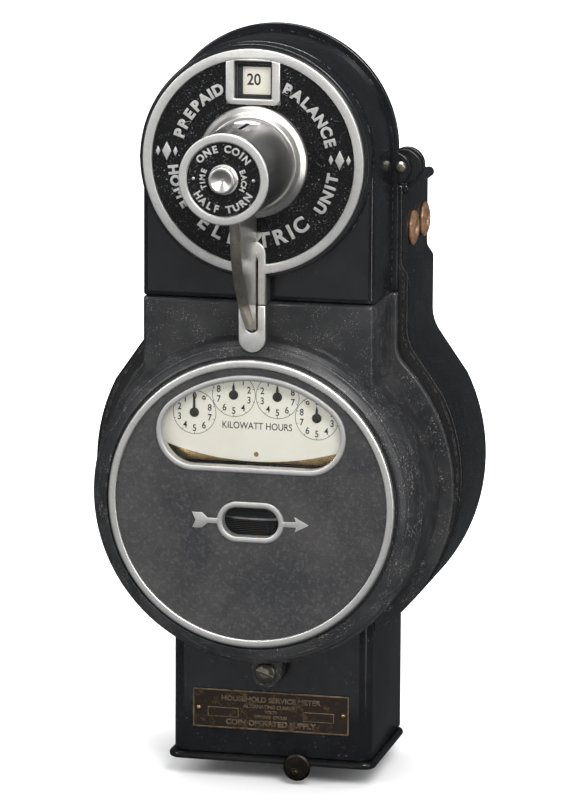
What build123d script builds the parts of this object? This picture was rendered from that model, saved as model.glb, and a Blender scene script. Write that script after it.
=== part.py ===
"""Coin-operated watthour meter for a wall: every piece as its own solid, in millimetres.

Frame: the back plane rests on the wall at Y = 0, the front faces -Y and +Z is up.  The origin is on the
wall, on the axis of the round meter cover.  A "depth" below is a distance out from the wall.
"""
import math
import os

from build123d import *

# ---- driving dimensions --------------------------------------------------------------------------
RING_R = 76.0                 # outer radius of the bright ring on the round cover
RING_WIDTH = 4.0
DIAL_Z = 178.6                # height of the knob axis above the cover axis
UPPER_RING_R = 58.0
UPPER_RING_WIDTH = 4.9
KNOB_R = 23.2
COIN_SLOT = 2.2               # width of the coin slot

BASE_DEPTH = 69.0             # depth of the rear base, where both covers seat
FLANGE = 3.0
NECK_FRONT = 117.0            # front of the neck and of the upper housing
PANEL_FRONT = 130.6
RING_FRONT = 132.0
BOSS_FRONT = 126.5            # front of the round boss on the upper housing
UPPER_RING_FRONT = 129.4
KNOB_FRONT = 192.0
BOX_FRONT = 82.0              # front wall of the lower box

DRUM_R = 88.0                 # main cover, outside
DRUM_FLANGE_R = 95.5
NECK_HALF = 61.2
NECK_FLANGE_HALF = 64.2
NECK_CORNER = 8.0             # fillet between the drum and its neck
FLANGE_CORNER = 15.0
BASE_R = 99.5
BASE_Z = 6.0                  # the base drum sits a little above the cover axis
BASE_NECK_HALF = 69.5
TERMINAL_HALF = 66.0
TERMINAL_TOP = 161.0
SEAM_Z = 104.5                # joint between the main cover and the upper housing
BOX_HALF = 54.0
BOX_BOTTOM = -147.0
WALL = 2.5
BASE_WALL = 3.0
BASE_BACK = 4.0               # thickness of the base's back
SEAT = 0.9                    # thickness of the ledge that the covers seat on
GAP = 0.3

# register
DIAL_ARC_R = 52.0             # the four dial centres lie on this arc
DIAL_ARC_Z = 4.6
DIAL_STEP = 25.84             # degrees between neighbouring dials
REGISTER_FRONT = 120.0
WHEEL_TEETH = 60
PINION_TEETH = 6
ARBOR_R = 0.9
WHEEL_DEPTHS = [103.0, 107.0, 111.0, 115.0]
WHEEL_THICK = 1.2

# rotor
ROTOR_DEPTH = 80.0            # spindle, distance from the wall
ROTOR_R = 42.0
ROTOR_Z = -9.5
WORM_R = 3.0
WORM_TEETH = 40
WORM_MODULE = 0.5

# credit train
KNOB_PINION_TEETH = 16
IDLER_TEETH = 40
IDLER_PINION_TEETH = 14
CREDIT_TEETH = 56
COARSE_MODULE = 1.0
FINE_MODULE = 0.8
IDLER_CENTRE = (19.8, DIAL_Z - 19.8)
PRESSURE_ANGLE = math.radians(20)

DIAL_SPACING = 2 * DIAL_ARC_R * math.sin(math.radians(DIAL_STEP / 2))
REGISTER_MODULE = 2 * DIAL_SPACING / (WHEEL_TEETH + PINION_TEETH)
DIAL_CENTRES = [
    (
        DIAL_ARC_R * math.sin(math.radians(DIAL_STEP * (i - 1.5))),
        DIAL_ARC_Z + DIAL_ARC_R * math.cos(math.radians(DIAL_STEP * (i - 1.5))),
    )
    for i in range(4)
]
WORM_CENTRE_X = WORM_R + WORM_MODULE * WORM_TEETH / 2
LAST_DIAL = DIAL_CENTRES[3]
WORM_Z = LAST_DIAL[1] - math.sqrt(DIAL_SPACING**2 - (LAST_DIAL[0] - WORM_CENTRE_X) ** 2)
WORM_WHEEL_CENTRE = (WORM_CENTRE_X, WORM_Z)

# rear base, its mounting holes, lugs and pins
FLARE_TOP = 78.4              # the neck widens into the drum below this height
FLARE_FOOT = (91.0, 48.0)     # and meets the drum here
SHOULDER = (114.0, 119.0)     # the neck steps in to the terminal chamber between these heights
BUSHING_DEPTHS = [15.1, 44.4]
BUSHING_Z = 134.6
BUSHING_SEAT_R = 7.0
MOUNT_X = 65.0
MOUNT_Z = 50.0
MOUNT_HOLE_R = 3.25
LUG_X = 66.5                  # round lugs that the upper housing is pinned to
LUG_Z = 170.3
LUG_R = 9.2
LUG_THICK = 3.4
LUG_DEPTHS = (57.5, 65.4)
PIN_X = 65.5
PIN_R = 2.05
BUSHING_BORE_R = 4.2

# windows in the main cover, and the arrow
REGISTER_WINDOW_R = 68.0
REGISTER_WINDOW_HALF = 50.3
REGISTER_WINDOW_FOOT = 16.6
REGISTER_CORNER = 20.0
DISC_WINDOW_HALF = (17.9, 10.7)
ARROW_TIP = 31.0
ARROW_HALF = 4.1              # half the height of the arrow's head and feathers
ARROW_SHAFT = 2.8
FRAME_WIDTH = 3.0
SLOT_BOTTOM = 88.8
CHUTE_PLATE_HALF = 7.0
GLASS = 1.6

# upper housing
WINDOW_Z = (210.9, 230.4)
WINDOW_HALF = 9.9
WINDOW_CENTRE = (0, sum(WINDOW_Z) / 2)
WINDOW_SIZE = (2 * WINDOW_HALF, WINDOW_Z[1] - WINDOW_Z[0])
SLOT_TOP = 129.0
UPPER_PLATE_ROUND = 131.0     # centre of the round end of the upper chute plate
LOWER_PLATE_ROUND = 86.8      # and of the lower one

# coin path
HORN_TOP = 155.0
HORN_HALF = 2.8
HORN_WALL = 0.9
HORN_BAND = 1.6
HORN_CURVE = [
    (168.4, HORN_TOP), (162.5, 130.2), (151.0, 111.5), (141.0, 100.6), (UPPER_RING_FRONT + 0.1, 91.6),
]
CHUTE_SLOT = 3.8              # width of the slot the coin falls through
CHUTE_OUTER = [
    (113.8, 129), (85, 113), (5.5, 90), (5.5, -90), (33.5, -90), (33.5, 58.5), (102, 80.5), (113.8, 87),
]
CHUTE_INNER = [
    (115, 128), (85, 111.5), (6.5, 88.8), (6.5, -91), (32.5, -91), (32.5, 59.3), (102, 81.8), (115, 88.5),
]
CHUTE_OUTER_HALF = 2.8
CHUTE_INNER_HALF = 1.9

# flared ring behind the knob: (y, z) corners of its section, the fourth is on the flare's curve
FLARE_BACK = -BOSS_FRONT - 1.5
FLARE_SECTION = [
    (FLARE_BACK, DIAL_Z + 6.2), (FLARE_BACK, DIAL_Z + 28.6), (-129.6, DIAL_Z + 28.9),
    (-131.6, DIAL_Z + 26.4), (-135.4, DIAL_Z + 23.8), (-135.4, DIAL_Z + 6.2),
]

# lower box, coin drawer and nameplate
SCREW_Z = -98.4               # the cover screw
SCREW_R = 2.2
SCREW_EAR_R = 8.5
BOX_BACK = 4.0
BOX_HEIGHT = 88.0
BOX_CORNER = 7.0
PLATE_HEIGHT = 21.4
PLATE_PIN_X = 39.4
BOX_WALL = 2.0
PLATE_HALF = 42.6
PLATE_Z = -122.7
BEAD = 2.1
TRAY_TOP = -104.0
TAB_X = 15.0
TAB_DEPTH = BOX_FRONT + 2.6

# knob and credit train
KNOB_BACK = 135.7
POCKET = (140.5, 169.5)       # the coin pocket, from its back to its front
TRAIN_PLATE = (98.0, 100.0)

# load switch and terminals
SWITCH_Z = 200.0
TERMINAL_XS = [-36, -14, 14, 36]

# meter element and register
POST_X = 60.0
FRAME_BACK = 58.0
FRAME_BAR = 10.0
SPINDLE_ENDS = (-55.5, 49.5)
FRAME_PLATES = (98.0, 117.6)
PILLARS = [(-54, 33), (54, 33), (0, 30)]

os.makedirs("parts", exist_ok=True)


def front(depth):
    """The XZ plane at a distance from the wall, looking out from it."""
    return Plane.XZ.offset(depth)


def save(part, name):
    part.part.label = name
    export_step(part.part, f"parts/{name}.step")


def corners_at(sketch, x, y):
    """The two corners of a sketch at (-x, y) and (x, y)."""
    return [v for v in sketch.vertices() if abs(abs(v.X) - x) < 0.5 and abs(v.Y - y) < 0.5]


def round_and_neck(depth, radius, half, corner):
    """A disc with a straight neck that rises to the seam."""
    with BuildSketch(front(depth)) as outline:
        Circle(radius)
        with Locations((0, SEAM_Z / 2)):
            Rectangle(2 * half, SEAM_Z)
        fillet(corners_at(outline, half, math.sqrt(radius**2 - half**2)), corner)
    return outline.sketch


def arch(depth, half, bottom, centre):
    """An upright slab with a round top."""
    with BuildSketch(front(depth)) as outline:
        with Locations((0, centre)):
            Circle(half)
        with Locations((0, (bottom + centre) / 2)):
            Rectangle(2 * half, centre - bottom)
    return outline.sketch


def gear_outline(teeth, module, play=0.12, turn=0.0):
    """Closed outline points of a spur gear, its first tooth centred on the angle turn, in radians."""
    pitch_r = teeth * module / 2
    base_r = pitch_r * math.cos(PRESSURE_ANGLE)
    tip_r = pitch_r + 0.9 * module
    root_r = pitch_r - 1.15 * module
    start_r = max(base_r, root_r)
    half = math.pi / (2 * teeth) - play * module / pitch_r
    inv_pitch = math.tan(PRESSURE_ANGLE) - PRESSURE_ANGLE
    points = []
    for tooth in range(teeth):
        centre = turn + 2 * math.pi * tooth / teeth
        flank = []
        for r in (start_r, (start_r + tip_r) / 2, tip_r):
            roll = math.sqrt(max((r / base_r) ** 2 - 1, 0))
            flank.append((r, half + inv_pitch - (roll - math.atan(roll))))
        sides = [(root_r, flank[0][1])] if root_r < start_r - 0.01 else []
        left = sides + flank
        for r, a in left:
            points.append((r * math.cos(centre - a), r * math.sin(centre - a)))
        for r, a in reversed(left):
            points.append((r * math.cos(centre + a), r * math.sin(centre + a)))
    return points


def gear(centre, depth, thick, outline, bore):
    """Adds a gear standing on a front plane to the current part."""
    placed = [(centre[0] + x, centre[1] + z) for x, z in outline]
    with BuildSketch(front(depth)) as wheel:
        with BuildLine():
            Polyline(*placed, close=True)
        make_face()
        if bore:
            with Locations(centre):
                Circle(bore, mode=Mode.SUBTRACT)
    extrude(wheel.sketch, amount=thick)


def disc(centre, depth, thick, radius, mode=Mode.ADD):
    """Adds or cuts a round slab parallel to the wall."""
    with BuildSketch(front(depth)) as round_face:
        with Locations(centre):
            Circle(radius)
    extrude(round_face.sketch, amount=thick, mode=mode)


def slab(centre, size, depth, thick, mode=Mode.ADD, corner=0.0):
    """Adds or cuts a rectangular slab parallel to the wall."""
    with BuildSketch(front(depth)) as flat_face:
        with Locations(centre):
            if corner:
                RectangleRounded(size[0], size[1], corner)
            else:
                Rectangle(*size)
    extrude(flat_face.sketch, amount=thick, mode=mode)


def side_profile(points, half, mode=Mode.ADD):
    """Adds or cuts a (depth, height) outline, spread to both sides of the centre plane."""
    with BuildSketch(Plane.YZ) as side_face:
        with BuildLine():
            Polyline(*[(-depth, z) for depth, z in points], close=True)
        make_face()
    extrude(side_face.sketch, amount=half, both=True, mode=mode)


# ---- rear base: drum, terminal chamber and back wall ---------------------------------------------


def base_outline(depth, shrink):
    """Front view of the base: drum, flare, neck, shoulder and terminal chamber."""
    with BuildSketch(front(depth)) as outline:
        with Locations((0, BASE_Z)):
            Circle(BASE_R - shrink)
        with BuildLine():
            Polyline(
                (0, 0),
                (FLARE_FOOT[0] - shrink, FLARE_FOOT[1]),
                (BASE_NECK_HALF - shrink, FLARE_TOP),
                (BASE_NECK_HALF - shrink, SHOULDER[0] - shrink),
                (TERMINAL_HALF - shrink, SHOULDER[1] - shrink),
                (TERMINAL_HALF - shrink, TERMINAL_TOP - shrink),
                (0, TERMINAL_TOP - shrink),
            )
            mirror(about=Plane.YZ)
        make_face()
    return outline.sketch


with BuildPart() as rear_base:
    extrude(base_outline(0, 0), amount=BASE_DEPTH)
    extrude(base_outline(BASE_BACK, BASE_WALL), amount=BASE_DEPTH - BASE_BACK - SEAT, mode=Mode.SUBTRACT)
    # the covers seat on a narrow ledge round the front opening
    hollow = round_and_neck(BASE_DEPTH - SEAT, DRUM_R - WALL, NECK_HALF - WALL, NECK_CORNER)
    extrude(hollow, amount=SEAT, mode=Mode.SUBTRACT)
    chamber_top = TERMINAL_TOP - BASE_WALL
    chamber = (2 * (NECK_HALF - WALL), chamber_top - SEAM_Z + 1)
    slab((0, (SEAM_Z - 1 + chamber_top) / 2), chamber, BASE_DEPTH - SEAT, SEAT, mode=Mode.SUBTRACT)
    with Locations((0, -19.75, -93)):
        Box(8, 30.5, 20, mode=Mode.SUBTRACT)
    with BuildSketch(front(0)):
        with GridLocations(2 * MOUNT_X, 2 * MOUNT_Z, 2, 2):
            Circle(MOUNT_HOLE_R)
    extrude(amount=4, mode=Mode.SUBTRACT)
    with BuildSketch(Plane.YZ):
        with Locations(*[(-d, BUSHING_Z) for d in BUSHING_DEPTHS]):
            Circle(BUSHING_SEAT_R)
    extrude(amount=80, both=True, mode=Mode.SUBTRACT)
    for side in (-1, 1):
        with Locations((side * (TERMINAL_HALF + 0.5), -BASE_DEPTH / 2, TERMINAL_TOP - 2.7)):
            Cylinder(2.7, BASE_DEPTH, rotation=(90, 0, 0))
    for side in (-1, 1):
        for depth in LUG_DEPTHS:
            disc((side * LUG_X, LUG_Z), depth, LUG_THICK, LUG_R)
        bridge_back, bridge_front = LUG_DEPTHS[0], LUG_DEPTHS[1] + LUG_THICK
        with Locations((side * (LUG_X - 2), -(bridge_back + bridge_front) / 2, LUG_Z - LUG_R + 0.5)):
            Box(7, bridge_front - bridge_back, 3.4)
        disc((side * PIN_X, LUG_Z), LUG_DEPTHS[0] - 1, 14, PIN_R + 0.05, mode=Mode.SUBTRACT)
save(rear_base, "rear_base")

# ---- bushings where the wires enter the terminal chamber -----------------------------------------
with BuildPart() as wire_bushings:
    for side in (-1, 1):
        for d in BUSHING_DEPTHS:
            with BuildSketch(Plane.XZ.offset(d)):
                with BuildLine():
                    Polyline(
                        (side * (TERMINAL_HALF - BASE_WALL - 3), BUSHING_Z + BUSHING_BORE_R),
                        (side * (TERMINAL_HALF - BASE_WALL - 3), BUSHING_Z + BUSHING_SEAT_R),
                        (side * TERMINAL_HALF, BUSHING_Z + BUSHING_SEAT_R),
                        (side * TERMINAL_HALF, BUSHING_Z + 9.2),
                        (side * (TERMINAL_HALF + 1.8), BUSHING_Z + 8.6),
                        (side * (TERMINAL_HALF + 3.2), BUSHING_Z + 6.6),
                        (side * (TERMINAL_HALF + 3.2), BUSHING_Z + BUSHING_BORE_R),
                        close=True,
                    )
                make_face()
            revolve(axis=Axis((0, -d, BUSHING_Z), (1, 0, 0)))
save(wire_bushings, "wire_bushings")

# ---- windows in the main cover -------------------------------------------------------------------


def register_window(depth, inset):
    """The register window: its top edge follows the ring, its foot is straight."""
    radius = REGISTER_WINDOW_R - inset
    half = REGISTER_WINDOW_HALF - inset
    foot = REGISTER_WINDOW_FOOT + inset
    with BuildSketch(front(depth)) as window:
        Circle(radius)
        with Locations((0, foot + 40)):
            Rectangle(2 * half, 80, mode=Mode.INTERSECT)
        fillet(corners_at(window, half, foot), REGISTER_CORNER - inset)
        fillet(corners_at(window, half, math.sqrt(radius**2 - half**2)), REGISTER_CORNER - inset)
    return window.sketch


def disc_window(depth, inset):
    """The oblong window in front of the rotor's edge."""
    with BuildSketch(front(depth)) as window:
        with Locations((0, ROTOR_Z)):
            SlotOverall(2 * (DISC_WINDOW_HALF[0] - inset), 2 * (DISC_WINDOW_HALF[1] - inset))
    return window.sketch


# ---- main cover: drum, neck and flange -----------------------------------------------------------
with BuildPart() as main_cover:
    extrude(round_and_neck(BASE_DEPTH, DRUM_FLANGE_R, NECK_FLANGE_HALF, FLANGE_CORNER), amount=FLANGE)
    extrude(round_and_neck(BASE_DEPTH, DRUM_R, NECK_HALF, NECK_CORNER), amount=NECK_FRONT - BASE_DEPTH)
    with BuildSketch(Plane.YZ):
        with BuildLine():
            Polyline(
                (-BASE_DEPTH, 0),
                (-BASE_DEPTH, DRUM_R),
                (-NECK_FRONT, DRUM_R),
                (-NECK_FRONT - 6, DRUM_R - 1.2),
                (-NECK_FRONT - 10.5, DRUM_R - 4.6),
                (-NECK_FRONT - 12.5, RING_R + 2),
                (-129.5, RING_R + 0.6),
                (-129.5, 0),
                close=True,
            )
        make_face()
    revolve(axis=Axis.Y)
    hollow = round_and_neck(BASE_DEPTH, DRUM_R - WALL, NECK_HALF - WALL, NECK_CORNER)
    extrude(hollow, amount=NECK_FRONT - WALL - BASE_DEPTH, mode=Mode.SUBTRACT)
    # ear that carries the cover screw in front of the lower box
    with BuildSketch(front(BOX_FRONT + GAP)):
        with Locations((0, SCREW_Z)):
            Circle(SCREW_EAR_R)
        with Locations((0, -91)):
            Rectangle(2 * SCREW_EAR_R, 15)
    extrude(amount=12)
    disc((0, SCREW_Z), BOX_FRONT, 14, SCREW_R + 0.4, mode=Mode.SUBTRACT)
    disc((0, 0), BASE_DEPTH, 57, DRUM_R - 5, mode=Mode.SUBTRACT)
    # slot that the coin falls through, and the two windows
    slab((0, (SLOT_BOTTOM + SEAM_Z) / 2), (CHUTE_SLOT, SEAM_Z - SLOT_BOTTOM), 110, 25, mode=Mode.SUBTRACT)
    for window in (register_window(120, FRAME_WIDTH), disc_window(120, FRAME_WIDTH)):
        extrude(window, amount=20, mode=Mode.SUBTRACT)
save(main_cover, "main_cover")


with BuildPart() as front_panel:
    disc((0, 0), 129.5, PANEL_FRONT - 129.5, RING_R - RING_WIDTH - 0.1)
    for window in (register_window(120, 0), disc_window(120, 0)):
        extrude(window, amount=20, mode=Mode.SUBTRACT)
save(front_panel, "front_panel")

with BuildPart() as cover_ring:
    disc((0, 0), 129.5, RING_FRONT - 129.5, RING_R)
    disc((0, 0), 129.5, RING_FRONT - 129.5, RING_R - RING_WIDTH, mode=Mode.SUBTRACT)
    chamfer(cover_ring.edges().filter_by(GeomType.CIRCLE).group_by(Axis.Y)[0], 0.5)
save(cover_ring, "cover_ring")

with BuildPart() as register_window_frame:
    extrude(register_window(129.5, 0), amount=2.0)
    extrude(register_window(129.5, FRAME_WIDTH), amount=2.0, mode=Mode.SUBTRACT)
save(register_window_frame, "register_window_frame")

# the frame of the rotor window, with the arrow that shows which way the rotor turns
with BuildPart() as disc_window_frame:
    extrude(disc_window(129.5, 0), amount=2.0)
    extrude(disc_window(129.5, FRAME_WIDTH), amount=2.0, mode=Mode.SUBTRACT)
    with BuildSketch(front(PANEL_FRONT)):
        with BuildLine():
            Polyline(
                (23.4, ROTOR_Z - ARROW_HALF), (ARROW_TIP, ROTOR_Z), (23.4, ROTOR_Z + ARROW_HALF),
                (24.6, ROTOR_Z), close=True,
            )
        make_face()
        with Locations((21, ROTOR_Z), (-21, ROTOR_Z)):
            Rectangle(7.2, ARROW_SHAFT)
        with BuildLine():
            Polyline(
                (-22.6, ROTOR_Z), (-25.8, ROTOR_Z + ARROW_HALF), (-ARROW_TIP, ROTOR_Z + ARROW_HALF),
                (-29.3, ROTOR_Z), (-ARROW_TIP, ROTOR_Z - ARROW_HALF), (-25.8, ROTOR_Z - ARROW_HALF),
                close=True,
            )
        make_face()
    extrude(amount=0.6)
save(disc_window_frame, "disc_window_frame")

for name, window in (("register_glass", register_window), ("disc_glass", disc_window)):
    with BuildPart() as pane:
        extrude(window(126 - GLASS, 0.8), amount=GLASS)
    save(pane, name)

# ---- upper housing -------------------------------------------------------------------------------
with BuildPart() as upper_housing:
    extrude(arch(BASE_DEPTH, NECK_FLANGE_HALF, SEAM_Z + GAP, DIAL_Z + 0.8), amount=FLANGE)
    extrude(arch(BASE_DEPTH, NECK_HALF, SEAM_Z + GAP, DIAL_Z), amount=NECK_FRONT - BASE_DEPTH)
    disc((0, DIAL_Z), NECK_FRONT, BOSS_FRONT - NECK_FRONT, 60.4)
    for side in (-1, 1):
        disc((side * 62, LUG_Z - 0.8), BASE_DEPTH, FLANGE, 8.5)
    hollow = arch(BASE_DEPTH, NECK_HALF - WALL, SEAM_Z, DIAL_Z)
    extrude(hollow, amount=NECK_FRONT - WALL - BASE_DEPTH, mode=Mode.SUBTRACT)
    disc((0, DIAL_Z), BASE_DEPTH, BOSS_FRONT - WALL - BASE_DEPTH, 57.9, mode=Mode.SUBTRACT)
    slab(WINDOW_CENTRE, WINDOW_SIZE, 120, 10, mode=Mode.SUBTRACT)
    disc((0, DIAL_Z), 120, 10, 6.0, mode=Mode.SUBTRACT)
    slab((0, (SLOT_TOP + SEAM_Z) / 2), (CHUTE_SLOT, SLOT_TOP - SEAM_Z), 110, 20, mode=Mode.SUBTRACT)
    for side in (-1, 1):
        disc((side * PIN_X, LUG_Z), BASE_DEPTH - 1, 6, PIN_R + 0.05, mode=Mode.SUBTRACT)
save(upper_housing, "upper_housing")

with BuildPart() as housing_back:
    extrude(arch(BASE_DEPTH - 2, NECK_FLANGE_HALF - 1, TERMINAL_TOP + 0.3, DIAL_Z + 0.8), amount=2)
    slab((0, TERMINAL_TOP - 60), (160, 120.6), BASE_DEPTH - 3, 4, mode=Mode.SUBTRACT)
    for side in (-1, 1):
        disc((side * LUG_X, LUG_Z), BASE_DEPTH - 3, 6, LUG_R + 0.2, mode=Mode.SUBTRACT)
        slab((side * LUG_X, LUG_Z - LUG_R), (12, 5), BASE_DEPTH - 3, 6, mode=Mode.SUBTRACT)
save(housing_back, "housing_back")

with BuildPart() as seal_pins:
    for side in (-1, 1):
        disc((side * PIN_X, LUG_Z), LUG_DEPTHS[0] - 1, BASE_DEPTH + FLANGE + 1 - LUG_DEPTHS[0], PIN_R)
        disc((side * PIN_X, LUG_Z), BASE_DEPTH + FLANGE, 1.4, 3.0)
save(seal_pins, "seal_pins")

with BuildPart() as upper_ring:
    disc((0, DIAL_Z), BOSS_FRONT, UPPER_RING_FRONT - BOSS_FRONT, UPPER_RING_R)
    disc((0, DIAL_Z), BOSS_FRONT, 5, UPPER_RING_R - UPPER_RING_WIDTH, mode=Mode.SUBTRACT)
    disc((0, UPPER_PLATE_ROUND), BOSS_FRONT, UPPER_RING_FRONT - BOSS_FRONT, CHUTE_PLATE_HALF)
    slab((0, 118), (2 * CHUTE_PLATE_HALF, 26.4), NECK_FRONT, UPPER_RING_FRONT - NECK_FRONT)
    disc((0, DIAL_Z), NECK_FRONT, BOSS_FRONT - NECK_FRONT, 60.7, mode=Mode.SUBTRACT)
    slab((0, 115.5), (CHUTE_SLOT, 27), NECK_FRONT, 20, mode=Mode.SUBTRACT)
save(upper_ring, "upper_ring")

with BuildPart() as upper_dial_plate:
    disc((0, DIAL_Z), BOSS_FRONT, 1.5, UPPER_RING_R - UPPER_RING_WIDTH - 0.1)
    disc((0, DIAL_Z), BOSS_FRONT, 3, 6.1, mode=Mode.SUBTRACT)
    disc((0, UPPER_PLATE_ROUND), BOSS_FRONT, 3, CHUTE_PLATE_HALF + 0.1, mode=Mode.SUBTRACT)
    slab((0, 120), (2 * CHUTE_PLATE_HALF + 0.2, 22), BOSS_FRONT, 3, mode=Mode.SUBTRACT)
    slab((0, 221.5), (28.6, 27), BOSS_FRONT, 3, mode=Mode.SUBTRACT)
save(upper_dial_plate, "upper_dial_plate")

with BuildPart() as credit_window_frame:
    slab((0, 221.5), (28.4, 26.8), BOSS_FRONT, UPPER_RING_FRONT - BOSS_FRONT)
    fillet(credit_window_frame.edges().filter_by(Axis.Y).group_by(Axis.Z)[0], 3)
    slab(WINDOW_CENTRE, WINDOW_SIZE, BOSS_FRONT, 5, mode=Mode.SUBTRACT)
    with BuildSketch(front(BOSS_FRONT)):
        with Locations((0, DIAL_Z)):
            Circle(70)
            Circle(UPPER_RING_R - UPPER_RING_WIDTH, mode=Mode.SUBTRACT)
    extrude(amount=5, mode=Mode.SUBTRACT)
save(credit_window_frame, "credit_window_frame")

with BuildPart() as credit_glass:
    slab((0, sum(WINDOW_Z) / 2), (23, 23), BOSS_FRONT - WALL - 1.2, 1.2)
save(credit_glass, "credit_glass")

# ---- coin path -----------------------------------------------------------------------------------


def horn_profile(inset):
    """Side outline of the coin horn, its front band drawn in by inset."""
    back = UPPER_RING_FRONT + 0.1
    outer = [(-(d - inset), z + inset * 0.55) for d, z in HORN_CURVE]
    outer[0] = (outer[0][0], HORN_TOP)
    outer[-1] = (-back, outer[-1][1])
    with BuildSketch(Plane.YZ) as profile:
        with BuildLine():
            Spline(*outer)
            Line(outer[-1], (-back, HORN_TOP))
            Line((-back, HORN_TOP), outer[0])
        make_face()
    return profile.sketch


with BuildPart() as coin_horn:
    extrude(horn_profile(0), amount=HORN_HALF, both=True)
    extrude(horn_profile(HORN_BAND), amount=HORN_HALF - HORN_WALL, both=True, mode=Mode.SUBTRACT)
    for depth, radius in ((131, 29.3), (132.4, 27.2), (133.6, 26.0), (135.8, 25.0)):
        disc((0, DIAL_Z), 128, depth - 128, radius, mode=Mode.SUBTRACT)
save(coin_horn, "coin_horn")

with BuildPart() as lower_chute_plate:
    slab((0, 95.5), (2 * CHUTE_PLATE_HALF, 17.6), NECK_FRONT, UPPER_RING_FRONT - NECK_FRONT)
    disc((0, LOWER_PLATE_ROUND), NECK_FRONT, UPPER_RING_FRONT - NECK_FRONT, CHUTE_PLATE_HALF)
    slab((0, 98), (CHUTE_SLOT, 18.4), NECK_FRONT, 20, mode=Mode.SUBTRACT)
    with BuildSketch(Plane.YZ):
        with BuildLine():
            Polyline(
                (0, 0), (0, DRUM_R), (-NECK_FRONT, DRUM_R), (-NECK_FRONT - 6, DRUM_R - 1.2),
                (-NECK_FRONT - 10.5, DRUM_R - 4.6), (-NECK_FRONT - 12.5, RING_R + 2), (-135, RING_R + 2),
                (-135, 0), close=True,
            )
        make_face()
    revolve(axis=Axis.Y, mode=Mode.SUBTRACT)
save(lower_chute_plate, "lower_chute_plate")

with BuildPart() as inner_chute:
    side_profile(CHUTE_OUTER, CHUTE_OUTER_HALF)
    side_profile(CHUTE_INNER, CHUTE_INNER_HALF, mode=Mode.SUBTRACT)
save(inner_chute, "inner_chute")

# ---- lower box, coin drawer and nameplate --------------------------------------------------------


def box_section(inset):
    """Plan view of the lower box, with rounded front corners."""
    with BuildSketch(Plane.XY.offset(BOX_BOTTOM)) as section:
        with Locations((0, -(BOX_FRONT + BOX_BACK) / 2)):
            Rectangle(2 * (BOX_HALF - inset), BOX_FRONT - BOX_BACK - 2 * inset)
        fillet(section.vertices().group_by(Axis.Y)[0], BOX_CORNER - inset)
    return section.sketch


with BuildPart() as lower_box:
    extrude(box_section(0), amount=BOX_HEIGHT)
    extrude(box_section(BOX_WALL), amount=BOX_HEIGHT, mode=Mode.SUBTRACT)
    with BuildSketch(front(0)):
        with Locations((0, BASE_Z)):
            Circle(BASE_R + 0.05)
    extrude(amount=BASE_DEPTH, mode=Mode.SUBTRACT)
    disc((0, 0), BASE_DEPTH, FLANGE + GAP, DRUM_FLANGE_R + GAP, mode=Mode.SUBTRACT)
    disc((0, 0), BASE_DEPTH, 40, DRUM_R + 0.1, mode=Mode.SUBTRACT)
    disc((0, SCREW_Z), BOX_FRONT - 5, 20, SCREW_R + 0.1, mode=Mode.SUBTRACT)
save(lower_box, "lower_box")

with BuildPart() as cover_screw:
    disc((0, SCREW_Z), BOX_FRONT - 6, 19, SCREW_R)
    with BuildSketch(Plane.YZ):
        with BuildLine():
            Polyline(
                (-94.4, SCREW_Z), (-94.4, SCREW_Z + 5.7), (-95.4, SCREW_Z + 5.7), (-97, SCREW_Z + 3.9),
                (-97.4, SCREW_Z), close=True,
            )
        make_face()
    revolve(axis=Axis((0, 0, SCREW_Z), (0, 1, 0)))
    with Locations((0, -97.2, SCREW_Z)):
        Box(14, 1.6, 1.3, rotation=(0, 20, 0), mode=Mode.SUBTRACT)
save(cover_screw, "cover_screw")

with BuildPart() as nameplate:
    slab((0, PLATE_Z), (2 * PLATE_HALF, PLATE_HEIGHT), BOX_FRONT, 0.9)
    slab((0, PLATE_Z), (2 * PLATE_HALF - 2, PLATE_HEIGHT - 2), BOX_FRONT + 0.5, 0.5, mode=Mode.SUBTRACT)
save(nameplate, "nameplate")

with BuildPart() as nameplate_pins:
    for side in (-1, 1):
        disc((side * PLATE_PIN_X, PLATE_Z), BOX_FRONT + 0.5, 1.0, 1.3)
save(nameplate_pins, "nameplate_pins")

with BuildPart() as coin_drawer:
    with Locations((0, -(BOX_FRONT + 4.6) / 2, BOX_BOTTOM - GAP / 2 - BEAD)):
        Box(2 * BOX_HALF + 5, BOX_FRONT + 0.6, 2 * BEAD - GAP)
    fillet(coin_drawer.edges().filter_by(Axis.Z), 7)
    fillet(coin_drawer.faces().sort_by(Axis.Z)[-1].edges(), 1.8)
    fillet(coin_drawer.faces().sort_by(Axis.Z)[0].edges(), 1.8)
    extrude(box_section(BOX_WALL + 1), amount=TRAY_TOP - BOX_BOTTOM)
    extrude(box_section(BOX_WALL + 1), amount=-2)
    extrude(box_section(BOX_WALL + 2.5), amount=TRAY_TOP - BOX_BOTTOM, mode=Mode.SUBTRACT)
save(coin_drawer, "coin_drawer")

with BuildPart() as drawer_tab:
    disc((TAB_X, -151.6), TAB_DEPTH, 1.8, 7.4)
    disc((TAB_X - 1, -154.6), TAB_DEPTH + 1.8, 1.6, 2.6)
    fillet(drawer_tab.faces().sort_by(Axis.Y)[0].edges(), 1.2)
save(drawer_tab, "drawer_tab")

# ---- knob and what turns with it -----------------------------------------------------------------
with BuildPart() as knob_flare:
    with BuildSketch(Plane.YZ):
        with BuildLine():
            Polyline(FLARE_SECTION[0], FLARE_SECTION[1], FLARE_SECTION[2])
            ThreePointArc(FLARE_SECTION[2], FLARE_SECTION[3], FLARE_SECTION[4])
            Polyline(FLARE_SECTION[4], FLARE_SECTION[5], FLARE_SECTION[0])
        make_face()
    revolve(axis=Axis((0, 0, DIAL_Z), (0, 1, 0)))
save(knob_flare, "knob_flare")

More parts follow.
